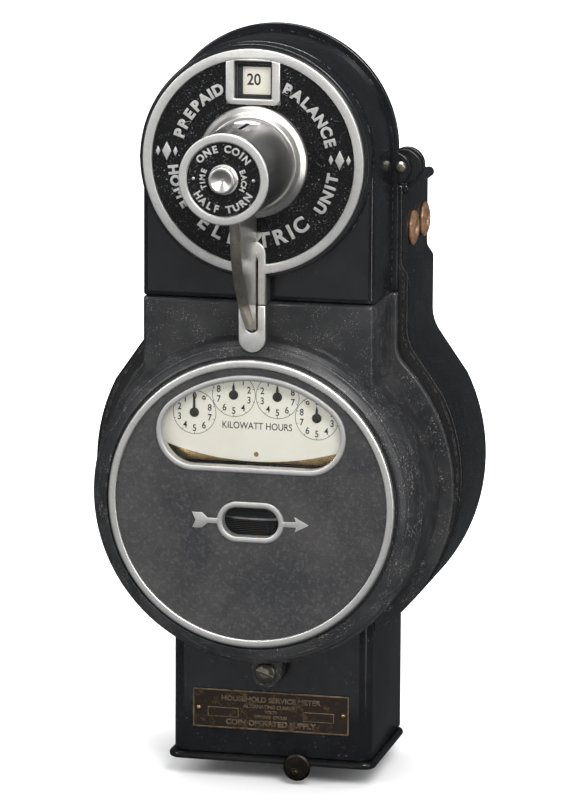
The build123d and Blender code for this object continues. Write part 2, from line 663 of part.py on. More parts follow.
with BuildPart() as knob_barrel:
    disc((0, DIAL_Z), KNOB_BACK, KNOB_FRONT - 1.6 - KNOB_BACK, KNOB_R - 0.4)
    with Locations((0, -(POCKET[0] + POCKET[1]) / 2, DIAL_Z + 12)):
        Box(COIN_SLOT, POCKET[1] - POCKET[0], 28, mode=Mode.SUBTRACT)
    with BuildSketch(Plane.YZ):
        with BuildLine():
            Polyline(
                (-138, DIAL_Z + 25), (-172, DIAL_Z + 25), (-169, DIAL_Z + 20.5), (-141, DIAL_Z + 20.5),
                close=True,
            )
        make_face()
    extrude(amount=7, both=True, mode=Mode.SUBTRACT)
save(knob_barrel, "knob_barrel")

with BuildPart() as knob_face:
    disc((0, DIAL_Z), KNOB_FRONT - 1.6, 1.6, KNOB_R)
    disc((0, DIAL_Z), KNOB_FRONT - 0.7, 0.7, 19.0, mode=Mode.SUBTRACT)
save(knob_face, "knob_face")

with BuildPart() as knob_nut:
    with BuildSketch(front(KNOB_FRONT - 0.7)):
        with Locations((0, DIAL_Z)):
            RegularPolygon(7.2, 6, major_radius=True)
    extrude(amount=2.4)
save(knob_nut, "knob_nut")

with BuildPart() as knob_cap:
    with BuildSketch(Plane.YZ):
        with BuildLine():
            cap = KNOB_FRONT + 1.7
            Polyline(
                (-cap, DIAL_Z), (-cap, DIAL_Z + 6.4), (-cap - 1.5, DIAL_Z + 6.9), (-cap - 2.6, DIAL_Z + 6.2),
                (-cap - 1.6, DIAL_Z + 3.5), (-cap - 1.2, DIAL_Z), close=True,
            )
        make_face()
    revolve(axis=Axis((0, 0, DIAL_Z), (0, 1, 0)))
save(knob_cap, "knob_cap")

with BuildPart() as knob_bush:
    disc((0, DIAL_Z), BOSS_FRONT - WALL - 1, 1 + WALL + 9, 6.0)
    disc((0, DIAL_Z), BOSS_FRONT - WALL - 1, 20, 3.05, mode=Mode.SUBTRACT)
save(knob_bush, "knob_bush")

mesh_angle = math.atan2(IDLER_CENTRE[1] - DIAL_Z, IDLER_CENTRE[0])
with BuildPart() as knob_shaft:
    disc((0, DIAL_Z), 96, KNOB_BACK - 96, 3.0)
    gear((0, DIAL_Z), 106, 3, gear_outline(KNOB_PINION_TEETH, COARSE_MODULE, turn=mesh_angle), 0)
save(knob_shaft, "knob_shaft")

with BuildPart() as idler_gear:
    half_tooth = math.pi / IDLER_TEETH
    gear(
        IDLER_CENTRE, 106, 3,
        gear_outline(IDLER_TEETH, COARSE_MODULE, turn=mesh_angle + math.pi + half_tooth), 1.55,
    )
    half_tooth = math.pi / IDLER_PINION_TEETH
    gear(
        IDLER_CENTRE, 109, 6.4,
        gear_outline(IDLER_PINION_TEETH, FINE_MODULE, turn=mesh_angle + math.pi + half_tooth), 1.55,
    )
save(idler_gear, "idler_gear")

with BuildPart() as credit_dial:
    gear((0, DIAL_Z), 112.6, 2.4, gear_outline(CREDIT_TEETH, FINE_MODULE, turn=mesh_angle), 3.05)
    disc((0, DIAL_Z), 118.5, 1.0, 52.8)
    disc((0, DIAL_Z), 115.0, 3.5, 8.0)
    disc((0, DIAL_Z), 115.0, 10, 3.05, mode=Mode.SUBTRACT)
save(credit_dial, "credit_dial")

with BuildPart() as train_plate:
    with BuildSketch(front(TRAIN_PLATE[0])):
        with Locations((0, DIAL_Z)):
            Circle(58)
            Rectangle(116, 74, mode=Mode.INTERSECT)
    extrude(amount=2)
    with BuildSketch(front(TRAIN_PLATE[1])):
        with Locations((0, DIAL_Z)):
            with GridLocations(90, 64, 2, 2):
                Circle(2.1)
    extrude(amount=BOSS_FRONT - WALL - TRAIN_PLATE[1])
    disc((0, DIAL_Z), 90, 20, 3.05, mode=Mode.SUBTRACT)
    disc(IDLER_CENTRE, TRAIN_PLATE[1], 16.2, 1.5)
save(train_plate, "train_plate")

# ---- load switch ---------------------------------------------------------------------------------
with BuildPart() as switch_base:
    slab((0, SWITCH_Z - 2), (64, 26), 90, 8, corner=2)
    disc((-24, SWITCH_Z), 82, 8, 2.0)
    slab((24, SWITCH_Z - 6.15), (10, 5), 82, 8)
save(switch_base, "switch_base")

with BuildPart() as switch_arm:
    slab((0, SWITCH_Z), (56, 6.5), 83, 5, corner=1)
    disc((-24, SWITCH_Z), 83, 5, 5.5)
    disc((-24, SWITCH_Z), 80, 12, 2.05, mode=Mode.SUBTRACT)
save(switch_arm, "switch_arm")

# ---- terminals -----------------------------------------------------------------------------------
with BuildPart() as terminal_block:
    slab((0, BUSHING_Z), (104, 26), 4, 50, corner=3)
    with BuildSketch(Plane.YZ):
        with Locations(*[(-d, BUSHING_Z) for d in BUSHING_DEPTHS]):
            Circle(4.2)
    extrude(amount=60, both=True, mode=Mode.SUBTRACT)
    with BuildSketch(front(50)):
        with Locations(*[(x, BUSHING_Z) for x in TERMINAL_XS]):
            Circle(2.5)
    extrude(amount=10, mode=Mode.SUBTRACT)
save(terminal_block, "terminal_block")

with BuildPart() as terminal_screws:
    for x in TERMINAL_XS:
        disc((x, BUSHING_Z), 50, 4, 2.4)
        disc((x, BUSHING_Z), 54, 3, 4.5)
        with Locations((x, -56.6, BUSHING_Z)):
            Box(10, 1.0, 1.2, mode=Mode.SUBTRACT)
save(terminal_screws, "terminal_screws")

# ---- meter element -------------------------------------------------------------------------------
with BuildPart() as meter_frame:
    for side in (-1, 1):
        slab((side * POST_X, -3), (8, 122), FRAME_BACK, FRAME_BAR)
        for z in (-58, 52):
            disc((side * POST_X, z), 4, FRAME_BACK - 4, 4)
        disc((side * 44, 54), FRAME_BACK, 98 - FRAME_BACK, 3)
        slab((side * 55.5, ROTOR_Z), (9, 20), FRAME_BACK, 40)
    for z in (54, -60):
        slab((0, z), (2 * POST_X, 8), FRAME_BACK, FRAME_BAR)
        slab((0, z), (16, 8), FRAME_BACK, 30)
        slab((0, z - math.copysign(8, z)), (20, 16), 54, 6)
        with Locations((0, -ROTOR_DEPTH, z)):
            Cylinder(3.0, 20, mode=Mode.SUBTRACT)
save(meter_frame, "meter_frame")

with BuildPart() as rotor_bearings:
    for z, tip in ((54, -5.5), (-60, 5.5)):
        with Locations((0, -ROTOR_DEPTH, z)):
            Cylinder(3.0, 11)
        with Locations((0, -ROTOR_DEPTH, z + tip)):
            Cylinder(1.05, 4, mode=Mode.SUBTRACT)
save(rotor_bearings, "rotor_bearings")

with BuildPart() as rotor_disc:
    with Locations((0, -ROTOR_DEPTH, ROTOR_Z)):
        Cylinder(ROTOR_R, 1.0)
        Cylinder(1.8, 3, mode=Mode.SUBTRACT)
save(rotor_disc, "rotor_disc")

with BuildPart() as rotor_spindle:
    with Locations((0, -ROTOR_DEPTH, (SPINDLE_ENDS[0] + SPINDLE_ENDS[1]) / 2)):
        Cylinder(1.0, SPINDLE_ENDS[1] - SPINDLE_ENDS[0] + 1.4)
    with Locations((0, -ROTOR_DEPTH, -4)):
        Cylinder(1.8, 84)
    with Locations((0, -ROTOR_DEPTH, ROTOR_Z - 1.5)):
        Cylinder(4.0, 2.0)
    with Locations((0, -ROTOR_DEPTH, WORM_Z)):
        Cylinder(WORM_R - 0.62, 14)
    lead = math.pi * WORM_MODULE
    with BuildLine():
        thread_path = Helix(lead, 6 * lead, WORM_R - 0.75, center=(0, -ROTOR_DEPTH, WORM_Z - 3 * lead))
    with BuildSketch(Plane(thread_path @ 0, x_dir=(1, 0, 0), z_dir=thread_path % 0)):
        with BuildLine():
            Polyline((0, -0.42), (1.15, -0.16), (1.15, 0.16), (0, 0.42), close=True)
        make_face()
    sweep(path=thread_path, is_frenet=True)
save(rotor_spindle, "rotor_spindle")

with BuildPart() as worm_wheel:
    wheel_turn = math.pi / WORM_TEETH
    gear(WORM_WHEEL_CENTRE, ROTOR_DEPTH - 1, 2, gear_outline(WORM_TEETH, WORM_MODULE, 0.14, wheel_turn), 0)
    disc(WORM_WHEEL_CENTRE, 77.5, 41.0, ARBOR_R)
    first_mesh = math.atan2(LAST_DIAL[1] - WORM_WHEEL_CENTRE[1], LAST_DIAL[0] - WORM_WHEEL_CENTRE[0])
    gear(WORM_WHEEL_CENTRE, 114, 3, gear_outline(PINION_TEETH, REGISTER_MODULE, 0.14, first_mesh), 0)
save(worm_wheel, "worm_wheel")

# ---- register ------------------------------------------------------------------------------------


with BuildPart() as register_frame:
    for depth in FRAME_PLATES:
        with BuildSketch(front(depth)):
            Circle(78)
            with Locations((0, 60)):
                Rectangle(118, 80, mode=Mode.INTERSECT)
            with Locations(*DIAL_CENTRES, WORM_WHEEL_CENTRE):
                Circle(ARBOR_R + 0.05, mode=Mode.SUBTRACT)
        extrude(amount=1.4)
    with BuildSketch(front(FRAME_PLATES[0])):
        with Locations(*PILLARS):
            Circle(1.8)
    extrude(amount=FRAME_PLATES[1] - FRAME_PLATES[0])
save(register_frame, "register_frame")

with BuildPart() as register_dial:
    with BuildSketch(front(FRAME_PLATES[1] + 1.4)):
        Circle(72)
        with Locations((0, 20.6 + 150)):
            Circle(150, mode=Mode.INTERSECT)
        with Locations(*DIAL_CENTRES):
            Circle(ARBOR_R + 0.1, mode=Mode.SUBTRACT)
    extrude(amount=1.0)
save(register_dial, "register_dial")


def dial_mesh(i):
    """Angle from dial i's axis to the pinion that drives its wheel, one dial to the right."""
    target = DIAL_CENTRES[i + 1] if i < 3 else WORM_WHEEL_CENTRE
    return math.atan2(target[1] - DIAL_CENTRES[i][1], target[0] - DIAL_CENTRES[i][0])


for i, centre in enumerate(DIAL_CENTRES):
    with BuildPart() as dial_wheel:
        turn = dial_mesh(i) + math.pi / WHEEL_TEETH
        gear(centre, WHEEL_DEPTHS[i], WHEEL_THICK, gear_outline(WHEEL_TEETH, REGISTER_MODULE, turn=turn), 0)
        if i > 0:
            back = dial_mesh(i - 1) + math.pi
            outline = gear_outline(PINION_TEETH, REGISTER_MODULE, 0.14, back)
            gear(centre, WHEEL_DEPTHS[i - 1] - 0.4, 2.0, outline, 0)
        disc(centre, FRAME_PLATES[0] - 0.6, REGISTER_FRONT + 0.9 - FRAME_PLATES[0], ARBOR_R)
    save(dial_wheel, f"dial_wheel_{i + 1}")

    with BuildPart() as pointer:
        length = 10.2 if i == 0 else 6.6
        with BuildSketch(front(REGISTER_FRONT + 0.4)):
            with Locations(centre):
                Circle(2.5)
            with BuildLine():
                Polyline(
                    (centre[0] - 0.8, centre[1]), (centre[0] - 0.35, centre[1] + length),
                    (centre[0] + 0.35, centre[1] + length), (centre[0] + 0.8, centre[1]), close=True,
                )
            make_face()
        extrude(amount=0.8)
        disc(centre, REGISTER_FRONT, 0.9, ARBOR_R, mode=Mode.SUBTRACT)
    save(pointer, f"pointer_{i + 1}")

# ---- magnets -------------------------------------------------------------------------------------
with BuildPart() as drag_magnets:
    for side in (-1, 1):
        slab((side * 38, ROTOR_Z), (26, 34), 86, 14, corner=2)
        slab((side * 34, ROTOR_Z), (26, 4), 80, 30, mode=Mode.SUBTRACT)
        slab((side * 36, ROTOR_Z), (12, 14), 80, 30, mode=Mode.SUBTRACT)
save(drag_magnets, "drag_magnets")

with BuildPart() as potential_core:
    slab((0, 18), (56, 48), 42, 12)
    for side in (-1, 1):
        slab((side * 14, 14), (12, 28), 42, 12, mode=Mode.SUBTRACT)
    slab((0, ROTOR_Z), (70, 5), 40, 16, mode=Mode.SUBTRACT)
save(potential_core, "potential_core")

with BuildPart() as potential_coil:
    slab((0, 14), (39, 26), 36.5, 23, corner=3)
    slab((0, 14), (16.2, 30), 41.9, 12.2, mode=Mode.SUBTRACT)
save(potential_coil, "potential_coil")

with BuildPart() as current_core:
    slab((0, -30), (56, 36), 42, 12)
    slab((0, -22), (24, 30), 42, 12, mode=Mode.SUBTRACT)
save(current_core, "current_core")

with BuildPart() as current_coils:
    for side in (-1, 1):
        slab((side * 20, -26), (22, 18), 37, 22, corner=3)
        slab((side * 20, -26), (16.2, 30), 41.9, 12.2, mode=Mode.SUBTRACT)
save(current_coils, "current_coils")
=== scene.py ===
"""Looks of the coin-operated electricity meter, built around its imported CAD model.

Lengths in this file are millimetres and MM turns them into metres.  A point is given as x (to the right),
z (up) and depth (out from the wall, towards the viewer), as in the CAD part.
"""
import math

import bmesh
import bpy
from mathutils import Matrix, Vector


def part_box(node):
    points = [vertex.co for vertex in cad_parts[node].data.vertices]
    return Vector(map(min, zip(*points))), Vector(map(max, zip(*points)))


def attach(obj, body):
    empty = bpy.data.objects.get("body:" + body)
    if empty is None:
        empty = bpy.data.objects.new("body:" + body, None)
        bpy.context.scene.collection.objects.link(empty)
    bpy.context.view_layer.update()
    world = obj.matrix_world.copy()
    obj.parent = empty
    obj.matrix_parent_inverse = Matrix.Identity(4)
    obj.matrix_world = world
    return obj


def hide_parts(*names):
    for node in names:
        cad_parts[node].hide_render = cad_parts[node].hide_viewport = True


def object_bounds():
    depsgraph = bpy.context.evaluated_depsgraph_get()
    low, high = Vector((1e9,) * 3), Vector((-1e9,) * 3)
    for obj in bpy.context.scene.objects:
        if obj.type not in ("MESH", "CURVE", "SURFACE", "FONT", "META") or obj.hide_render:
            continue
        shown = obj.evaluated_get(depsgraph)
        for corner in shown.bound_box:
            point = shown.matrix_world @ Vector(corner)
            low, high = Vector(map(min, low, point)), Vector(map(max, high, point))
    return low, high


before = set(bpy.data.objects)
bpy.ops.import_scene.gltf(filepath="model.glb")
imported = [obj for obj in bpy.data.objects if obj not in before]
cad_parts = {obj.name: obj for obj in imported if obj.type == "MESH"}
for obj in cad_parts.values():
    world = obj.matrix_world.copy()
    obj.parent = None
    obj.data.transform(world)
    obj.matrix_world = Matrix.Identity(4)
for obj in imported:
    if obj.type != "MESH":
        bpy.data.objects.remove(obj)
cad_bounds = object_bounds()
scene = bpy.context.scene
MM = 0.001


# ---- places read from the frame --------------------------------------------------------------
class Extent:
    """A CAD node's box in millimetres, with its front and back given as depths."""

    def __init__(self, node):
        low, high = (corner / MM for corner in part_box(node))
        self.left, self.right = low.x, high.x
        self.back, self.front = -high.y, -low.y
        self.bottom, self.top = low.z, high.z
        self.x, self.z = (low.x + high.x) / 2, (low.z + high.z) / 2
        self.half_x, self.half_z = (high.x - low.x) / 2, (high.z - low.z) / 2


RING = Extent("cover_ring")
COVER = Extent("main_cover")
UPPER_RING = Extent("upper_ring")
DIAL_PLATE = Extent("upper_dial_plate")
CREDIT_FRAME = Extent("credit_window_frame")
CREDIT_DIAL = Extent("credit_dial")
BARREL = Extent("knob_barrel")
FACE = Extent("knob_face")
NUT = Extent("knob_nut")
CAP = Extent("knob_cap")
FLARE = Extent("knob_flare")
BASE = Extent("rear_base")
BOX = Extent("lower_box")
TAB = Extent("drawer_tab")
HORN = Extent("coin_horn")
LOWER_PLATE = Extent("lower_chute_plate")
REGISTER_FRAME = Extent("register_window_frame")
DISC_FRAME = Extent("disc_window_frame")
DISC_PANE = Extent("disc_glass")
REGISTER_DIAL = Extent("register_dial")
NAMEPLATE = Extent("nameplate")
SCREW = Extent("cover_screw")
BUSHINGS = Extent("wire_bushings")
PINS = Extent("seal_pins")
POINTERS = [Extent(f"pointer_{i}") for i in (1, 2, 3, 4)]

DIAL_Z = BARREL.z             # height of the knob axis
SEAM_Z = COVER.top            # where the cover meets the upper housing
NECK_FRONT = LOWER_PLATE.back
BASE_FRONT = COVER.back       # the covers seat on the base here
FLANGE_FRONT = BASE_FRONT + 3.0
DRUM_R = 88.0
NECK_HALF = 61.2
BOSS_R = 60.4
BOSS_FRONT = UPPER_RING.front - 2.9
BASE_R = BASE.half_x
BASE_Z = 6.0                  # the base drum's centre
CHUTE_HALF = LOWER_PLATE.half_x
SLOT_HALF = 3.1               # dark line beside the horn, wider than the real slot: the black parts behind it show there as painted shade of the slot's depth
CHANNEL_HALF = 1.9            # the real slot, in the black parts behind, which stand in for the shade inside the slot


# ---- meshes ----------------------------------------------------------------------------------
def at(x, z, depth):
    """The point in the frame, in metres."""
    return Vector((x, -depth, z)) * MM


def lay(loop, depth):
    return [at(x, z, depth) for x, z in loop]


def arc(centre, radius, start, end, steps):
    """Points on an arc, angles in degrees from +x towards +z."""
    angles = [math.radians(start + (end - start) * i / steps) for i in range(steps + 1)]
    return [(centre[0] + radius * math.cos(a), centre[1] + radius * math.sin(a)) for a in angles]


def circle(centre, radius, steps=128):
    return arc(centre, radius, 0, 360, steps)[:-1]


def rounded(points, radius, closed=False, steps=4):
    """A polyline with its corners rounded.  A point may carry its own radius as a third value."""
    count = len(points)
    result = []
    for i, point in enumerate(points):
        own = point[2] if len(point) > 2 else radius
        if not own or (not closed and i in (0, count - 1)):
            result.append(tuple(point[:2]))
            continue
        here = Vector(point[:2])
        before = Vector(points[i - 1][:2]) - here
        after = Vector(points[(i + 1) % count][:2]) - here
        half = before.angle(after) / 2
        reach = min(own / math.tan(half), 0.499 * before.length, 0.499 * after.length)
        start = here + before.normalized() * reach
        end = here + after.normalized() * reach
        middle = (before.normalized() + after.normalized()).normalized()
        if half > 1.55:
            result += [tuple(start.lerp(end, j / steps)) for j in range(steps + 1)]
            continue
        centre = here + middle * reach / math.cos(half)
        spoke = start - centre
        sweep = spoke.angle_signed(end - centre)
        for j in range(steps + 1):
            turned = spoke.copy()
            turned.rotate(Matrix.Rotation(-sweep * j / steps, 2))
            result.append(tuple(centre + turned))
    return result


def spread(start, end, count):
    """Points from start towards end, without the end."""
    return [tuple(Vector(start).lerp(Vector(end), i / count)) for i in range(count)]


def on_circle(points, centre, radius):
    """Each point moved along its spoke onto a circle."""
    result = []
    for x, z in points:
        scale = radius / math.hypot(x - centre[0], z - centre[1])
        result.append((centre[0] + (x - centre[0]) * scale, centre[1] + (z - centre[1]) * scale))
    return result


def stadium(centre, half_x, half_z, steps=16):
    """An oblong with half-round ends."""
    reach = half_x - half_z
    right = arc((centre[0] + reach, centre[1]), half_z, -90, 90, steps)
    return right + arc((centre[0] - reach, centre[1]), half_z, 90, 270, steps)


def box_loop(centre, size, corner, steps=6):
    """An upright rectangle with rounded corners."""
    x, z = size[0] / 2, size[1] / 2
    corners = [(x, -z), (x, z), (-x, z), (-x, -z)]
    return rounded([(centre[0] + a, centre[1] + b) for a, b in corners], corner, True, steps)


def lozenge(x, z, half_x, half_z):
    return [(x - half_x, z), (x, z - half_z), (x + half_x, z), (x, z + half_z)]


def mirrored(right_side):
    """Closes an outline whose right side is given from the bottom to the top."""
    return right_side + [(-x, z) for x, z in reversed(right_side) if abs(x) > 1e-6]


def finish_mesh(bm):
    bmesh.ops.remove_doubles(bm, verts=bm.verts, dist=2e-6)
    bmesh.ops.recalc_face_normals(bm, faces=bm.faces)
    mesh = bpy.data.meshes.new("mesh")
    bm.to_mesh(mesh)
    bm.free()
    return mesh


def loft(rings, closed=False, start_cap=False, end_cap=False):
    """Skins a stack of rings of points, each ring with as many points."""
    bm = bmesh.new()
    rows = [[bm.verts.new(point) for point in ring] for ring in rings]
    pairs = list(zip(rows, rows[1:]))
    if closed:
        pairs.append((rows[-1], rows[0]))
    for row, other in pairs:
        for i in range(len(row)):
            j = (i + 1) % len(row)
            bm.faces.new((row[i], row[j], other[j], other[i]))
    if start_cap:
        bm.faces.new(rows[0])
    if end_cap:
        bm.faces.new(rows[-1])
    return finish_mesh(bm)


def stack(outline, sections, **caps):
    """Lofts outline(inset) through (inset, depth) sections."""
    return loft([lay(outline(inset), depth) for inset, depth in sections], **caps)


def lathe(profile, centre=(0.0, 0.0), closed=False, steps=160):
    """Turns a (radius, depth) profile about an axis that stands out from the wall."""
    rings = []
    for radius, depth in profile:
        rings.append(lay(circle(centre, radius, steps), depth))
    return loft(rings, closed)


def lathe_sideways(profile, centre, side, steps=64):
    """Turns a closed (radius, x) profile about an axis along x, through (z, depth) centre."""
    rings = []
    for radius, x in profile:
        ring = circle((centre[0], centre[1]), radius, steps)
        rings.append([at(side * x, z, depth) for z, depth in ring])
    return loft(rings, closed=True)


def mesh_of(data, matrix):
    """Turns a curve or text into a mesh in place."""
    holder = bpy.data.objects.new("holder", data)
    scene.collection.objects.link(holder)
    graph = bpy.context.evaluated_depsgraph_get()
    mesh = bpy.data.meshes.new_from_object(holder.evaluated_get(graph))
    bpy.data.objects.remove(holder)
    mesh.transform(matrix)
    return mesh


def upright(x, z, depth, turn=0.0):
    """Stands a flat drawing up, facing the viewer, turned anticlockwise in degrees."""
    spin = Matrix.Rotation(math.radians(turn), 4, "Z")
    return Matrix.Translation(at(x, z, depth)) @ Matrix.Rotation(math.pi / 2, 4, "X") @ spin


def merged(meshes):
    bm = bmesh.new()
    for mesh in meshes:
        bm.from_mesh(mesh)
        bpy.data.meshes.remove(mesh)
    return finish_mesh(bm)


def plate(loops, back, front, bevel=0.3):
    """A flat plate with rounded edges: the first loop is its outside, the others are holes."""
    curve = bpy.data.curves.new("outline", "CURVE")
    curve.dimensions = "2D"
    curve.fill_mode = "BOTH"
    curve.extrude = ((front - back) / 2 - bevel) * MM
    curve.bevel_depth = bevel * MM
    curve.bevel_resolution = 2
    curve.offset = -bevel * MM
    for loop in loops:
        spline = curve.splines.new("POLY")
        spline.points.add(len(loop) - 1)
        for point, (x, z) in zip(spline.points, loop):
            point.co = (x * MM, z * MM, 0, 1)
        spline.use_cyclic_u = True
    return merged([mesh_of(curve, upright(0, 0, (back + front) / 2))])


def letter_mesh(text, size, thick, heavy):
    font = bpy.data.curves.new("letters", "FONT")
    font.body = text
    font.size = size * MM
    font.align_x = "CENTER"
    font.align_y = "CENTER"
    font.extrude = thick * MM / 2
    font.bevel_depth = min(0.08, thick / 4) * MM
    font.offset = heavy * MM
    return font


def straight_text(text, x, z, depth, size, thick=0.1, heavy=0.0, squeeze=1.0, turn=0.0):
    place = upright(x, z, depth, turn) @ Matrix.Diagonal((squeeze, 1, 1, 1))
    return mesh_of(letter_mesh(text, size, thick, heavy), place)


def arc_text(text, centre, radius, middle, size, depth, thick, heavy, step, foot_in=True):
    """Letters set along an arc, about the angle middle.  foot_in puts their feet inwards."""
    narrow = {"I": 0.5, " ": 0.62, "1": 0.7, ".": 0.5, "J": 0.75, "M": 1.2, "W": 1.25, "O": 1.08, "N": 1.05}
    widths = [narrow.get(letter, 0.92) * size * step for letter in text]
    way = -1 if foot_in else 1
    position = -sum(widths) / 2
    meshes = []
    for letter, width in zip(text, widths):
        angle = middle + way * math.degrees((position + width / 2) / radius)
        position += width
        if letter == " ":
            continue
        x = centre[0] + radius * math.cos(math.radians(angle))
        z = centre[1] + radius * math.sin(math.radians(angle))
        turn = angle - 90 if foot_in else angle + 90
        meshes.append(straight_text(letter, x, z, depth, size, thick, heavy, turn=turn))
    return meshes


def carve(mesh, *cutters):
    """Cuts other meshes out of a mesh."""
    holder = bpy.data.objects.new("carved", mesh)
    scene.collection.objects.link(holder)
    tools = []
    for cutter in cutters:
        tool = bpy.data.objects.new("cutter", cutter)
        scene.collection.objects.link(tool)
        modifier = holder.modifiers.new("cut", "BOOLEAN")
        modifier.operation = "DIFFERENCE"
        modifier.solver = "EXACT"
        modifier.object = tool
        tools.append(tool)
    graph = bpy.context.evaluated_depsgraph_get()
    result = bpy.data.meshes.new_from_object(holder.evaluated_get(graph))
    for old in tools + [holder]:
        bpy.data.objects.remove(old)
    return result


def piece(name, mesh, material, body="case", stands_for=(), bevel=0.0, angle=32):
    """Shows a mesh as a piece that rides on a body, in the finish of a material."""
    obj = bpy.data.objects.new(name, mesh)
    scene.collection.objects.link(obj)
    mesh.name = name
    mesh.materials.clear()
    mesh.materials.append(material)
    mesh.shade_smooth()
    mesh.set_sharp_from_angle(angle=math.radians(angle))
    if bevel:
        modifier = obj.modifiers.new("soft edges", "BEVEL")
        modifier.width = bevel * MM
        modifier.segments = 3
        modifier.limit_method = "ANGLE"
        modifier.angle_limit = math.radians(angle)
        modifier.harden_normals = True
    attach(obj, body)
    if stands_for:
        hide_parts(*stands_for)
    return obj


# ---- materials -------------------------------------------------------------------------------
class Finish:
    """A procedural material on one Principled shader, with short calls for its nodes."""

    def __init__(self, name, slot, **constants):
        self.material = bpy.data.materials.new(name)
        self.material.use_nodes = True
        self.material["slot"] = slot
        self.tree = self.material.node_tree
        self.shader = self.tree.nodes["Principled BSDF"]
        self.place = self.add("ShaderNodeTexCoord").outputs["Object"]
        for socket, value in constants.items():
            self.shader.inputs[socket.replace("_", " ")].default_value = value

    def add(self, kind, **settings):
        node = self.tree.nodes.new(kind)
        for key, value in settings.items():
            setattr(node, key, value)
        return node

    def feed(self, socket, value):
        """Puts a number, a colour or another node's output into a socket."""
        if isinstance(value, bpy.types.NodeSocket):
            self.tree.links.new(value, socket)
        elif isinstance(value, (tuple, list)) and len(value) == 3 and len(socket.default_value) == 4:
            socket.default_value = (*value, 1)
        else:
            socket.default_value = value

    def stretched(self, factors):
        node = self.add("ShaderNodeMapping")
        self.feed(node.inputs["Vector"], self.place)
        node.inputs["Scale"].default_value = factors
        return node.outputs["Vector"]

    def noise(self, size, detail=4.0, rough=0.55, stretch=None):
        """Noise whose features are about size millimetres across."""
        node = self.add("ShaderNodeTexNoise")
        self.feed(node.inputs["Vector"], self.stretched(stretch) if stretch else self.place)
        node.inputs["Scale"].default_value = 1 / (size * MM)
        node.inputs["Detail"].default_value = detail
        node.inputs["Roughness"].default_value = rough
        return node.outputs["Fac"]

    def cells(self, size):
        node = self.add("ShaderNodeTexVoronoi")
        self.feed(node.inputs["Vector"], self.place)
        node.inputs["Scale"].default_value = 1 / (size * MM)
        return node.outputs["Distance"]

    def ramp(self, value, *stops):
        """A colour ramp; each stop is a position with a grey or a colour."""
        node = self.add("ShaderNodeValToRGB")
        self.feed(node.inputs["Fac"], value)
        points = node.color_ramp.elements
        while len(points) < len(stops):
            points.new(0.5)
        for point, (position, colour) in zip(points, stops):
            point.position = position
            point.color = (*colour, 1) if isinstance(colour, tuple) else (colour, colour, colour, 1)
        return node.outputs["Color"]

    def mix(self, factor, first, second):
        node = self.add("ShaderNodeMix", data_type="RGBA")
        sockets = [s for s in node.inputs if s.enabled]
        for socket, value in zip(sockets, (factor, first, second)):
            self.feed(socket, value)
        return [s for s in node.outputs if s.enabled][0]

    def math(self, operation, first, second=0.5):
        node = self.add("ShaderNodeMath", operation=operation)
        self.feed(node.inputs[0], first)
        self.feed(node.inputs[1], second)
        return node.outputs[0]

    def edges(self, width, low=0.02, high=0.12):
        """White on sharp edges, about width millimetres wide."""
        bevel = self.add("ShaderNodeBevel", samples=4)
        bevel.inputs["Radius"].default_value = width * MM
        flat = self.add("ShaderNodeNewGeometry").outputs["Normal"]
        dot = self.add("ShaderNodeVectorMath", operation="DOT_PRODUCT")
        self.feed(dot.inputs[0], bevel.outputs["Normal"])
        self.feed(dot.inputs[1], flat)
        return self.ramp(self.math("SUBTRACT", 1.0, dot.outputs["Value"]), (low, 0.0), (high, 1.0))

    def bump(self, height, distance, strength=1.0, under=None):
        node = self.add("ShaderNodeBump")
        self.feed(node.inputs["Height"], height)
        node.inputs["Distance"].default_value = distance * MM
        node.inputs["Strength"].default_value = strength
        if under:
            self.feed(node.inputs["Normal"], under)
        return node.outputs["Normal"]

    def done(self, **inputs):
        for socket, value in inputs.items():
            self.feed(self.shader.inputs[socket.replace("_", " ")], value)
        return self.material


def black_paint(name, slot, base, gloss, speck, grain, chip=0.5, haze=(0.035, 0.032, 0.03)):
    """Black paint with haze, specks of dust and bare metal where edges have chipped."""
    f = Finish(name, slot, Specular_IOR_Level=0.42)
    cloud = f.noise(28, 5, 0.6)
    tone = f.mix(f.ramp(cloud, (0.42, 0.0), (0.75, 1.0)), base, haze)
    dust = f.ramp(f.noise(0.75, 2, 0.5), (speck, 0.0), (speck + 0.035, 1.0))
    patches = f.ramp(f.noise(9, 3, 0.6), (0.45, 0.0), (0.62, 1.0))
    dust = f.math("MULTIPLY", dust, patches)
    tone = f.mix(f.math("MULTIPLY", dust, 0.8), tone, (0.17, 0.16, 0.15))
    broken = f.ramp(f.noise(2.2, 5, 0.7), (chip, 0.0), (chip + 0.05, 1.0))
    bare = f.math("MULTIPLY", f.edges(0.55), broken)
    tone = f.mix(bare, tone, (0.22, 0.21, 0.19))
    smear = f.noise(11, 6, 0.7, (1, 1, 0.4))
    rough = f.ramp(smear, (0.3, gloss), (0.75, gloss + 0.16))
    peel = f.bump(f.noise(grain, 3, 0.6), 0.03, 0.5)
    relief = f.bump(bare, -0.05, 0.6, peel)
    return f.done(Base_Color=tone, Roughness=rough, Metallic=f.math("MULTIPLY", bare, 0.8), Normal=relief)


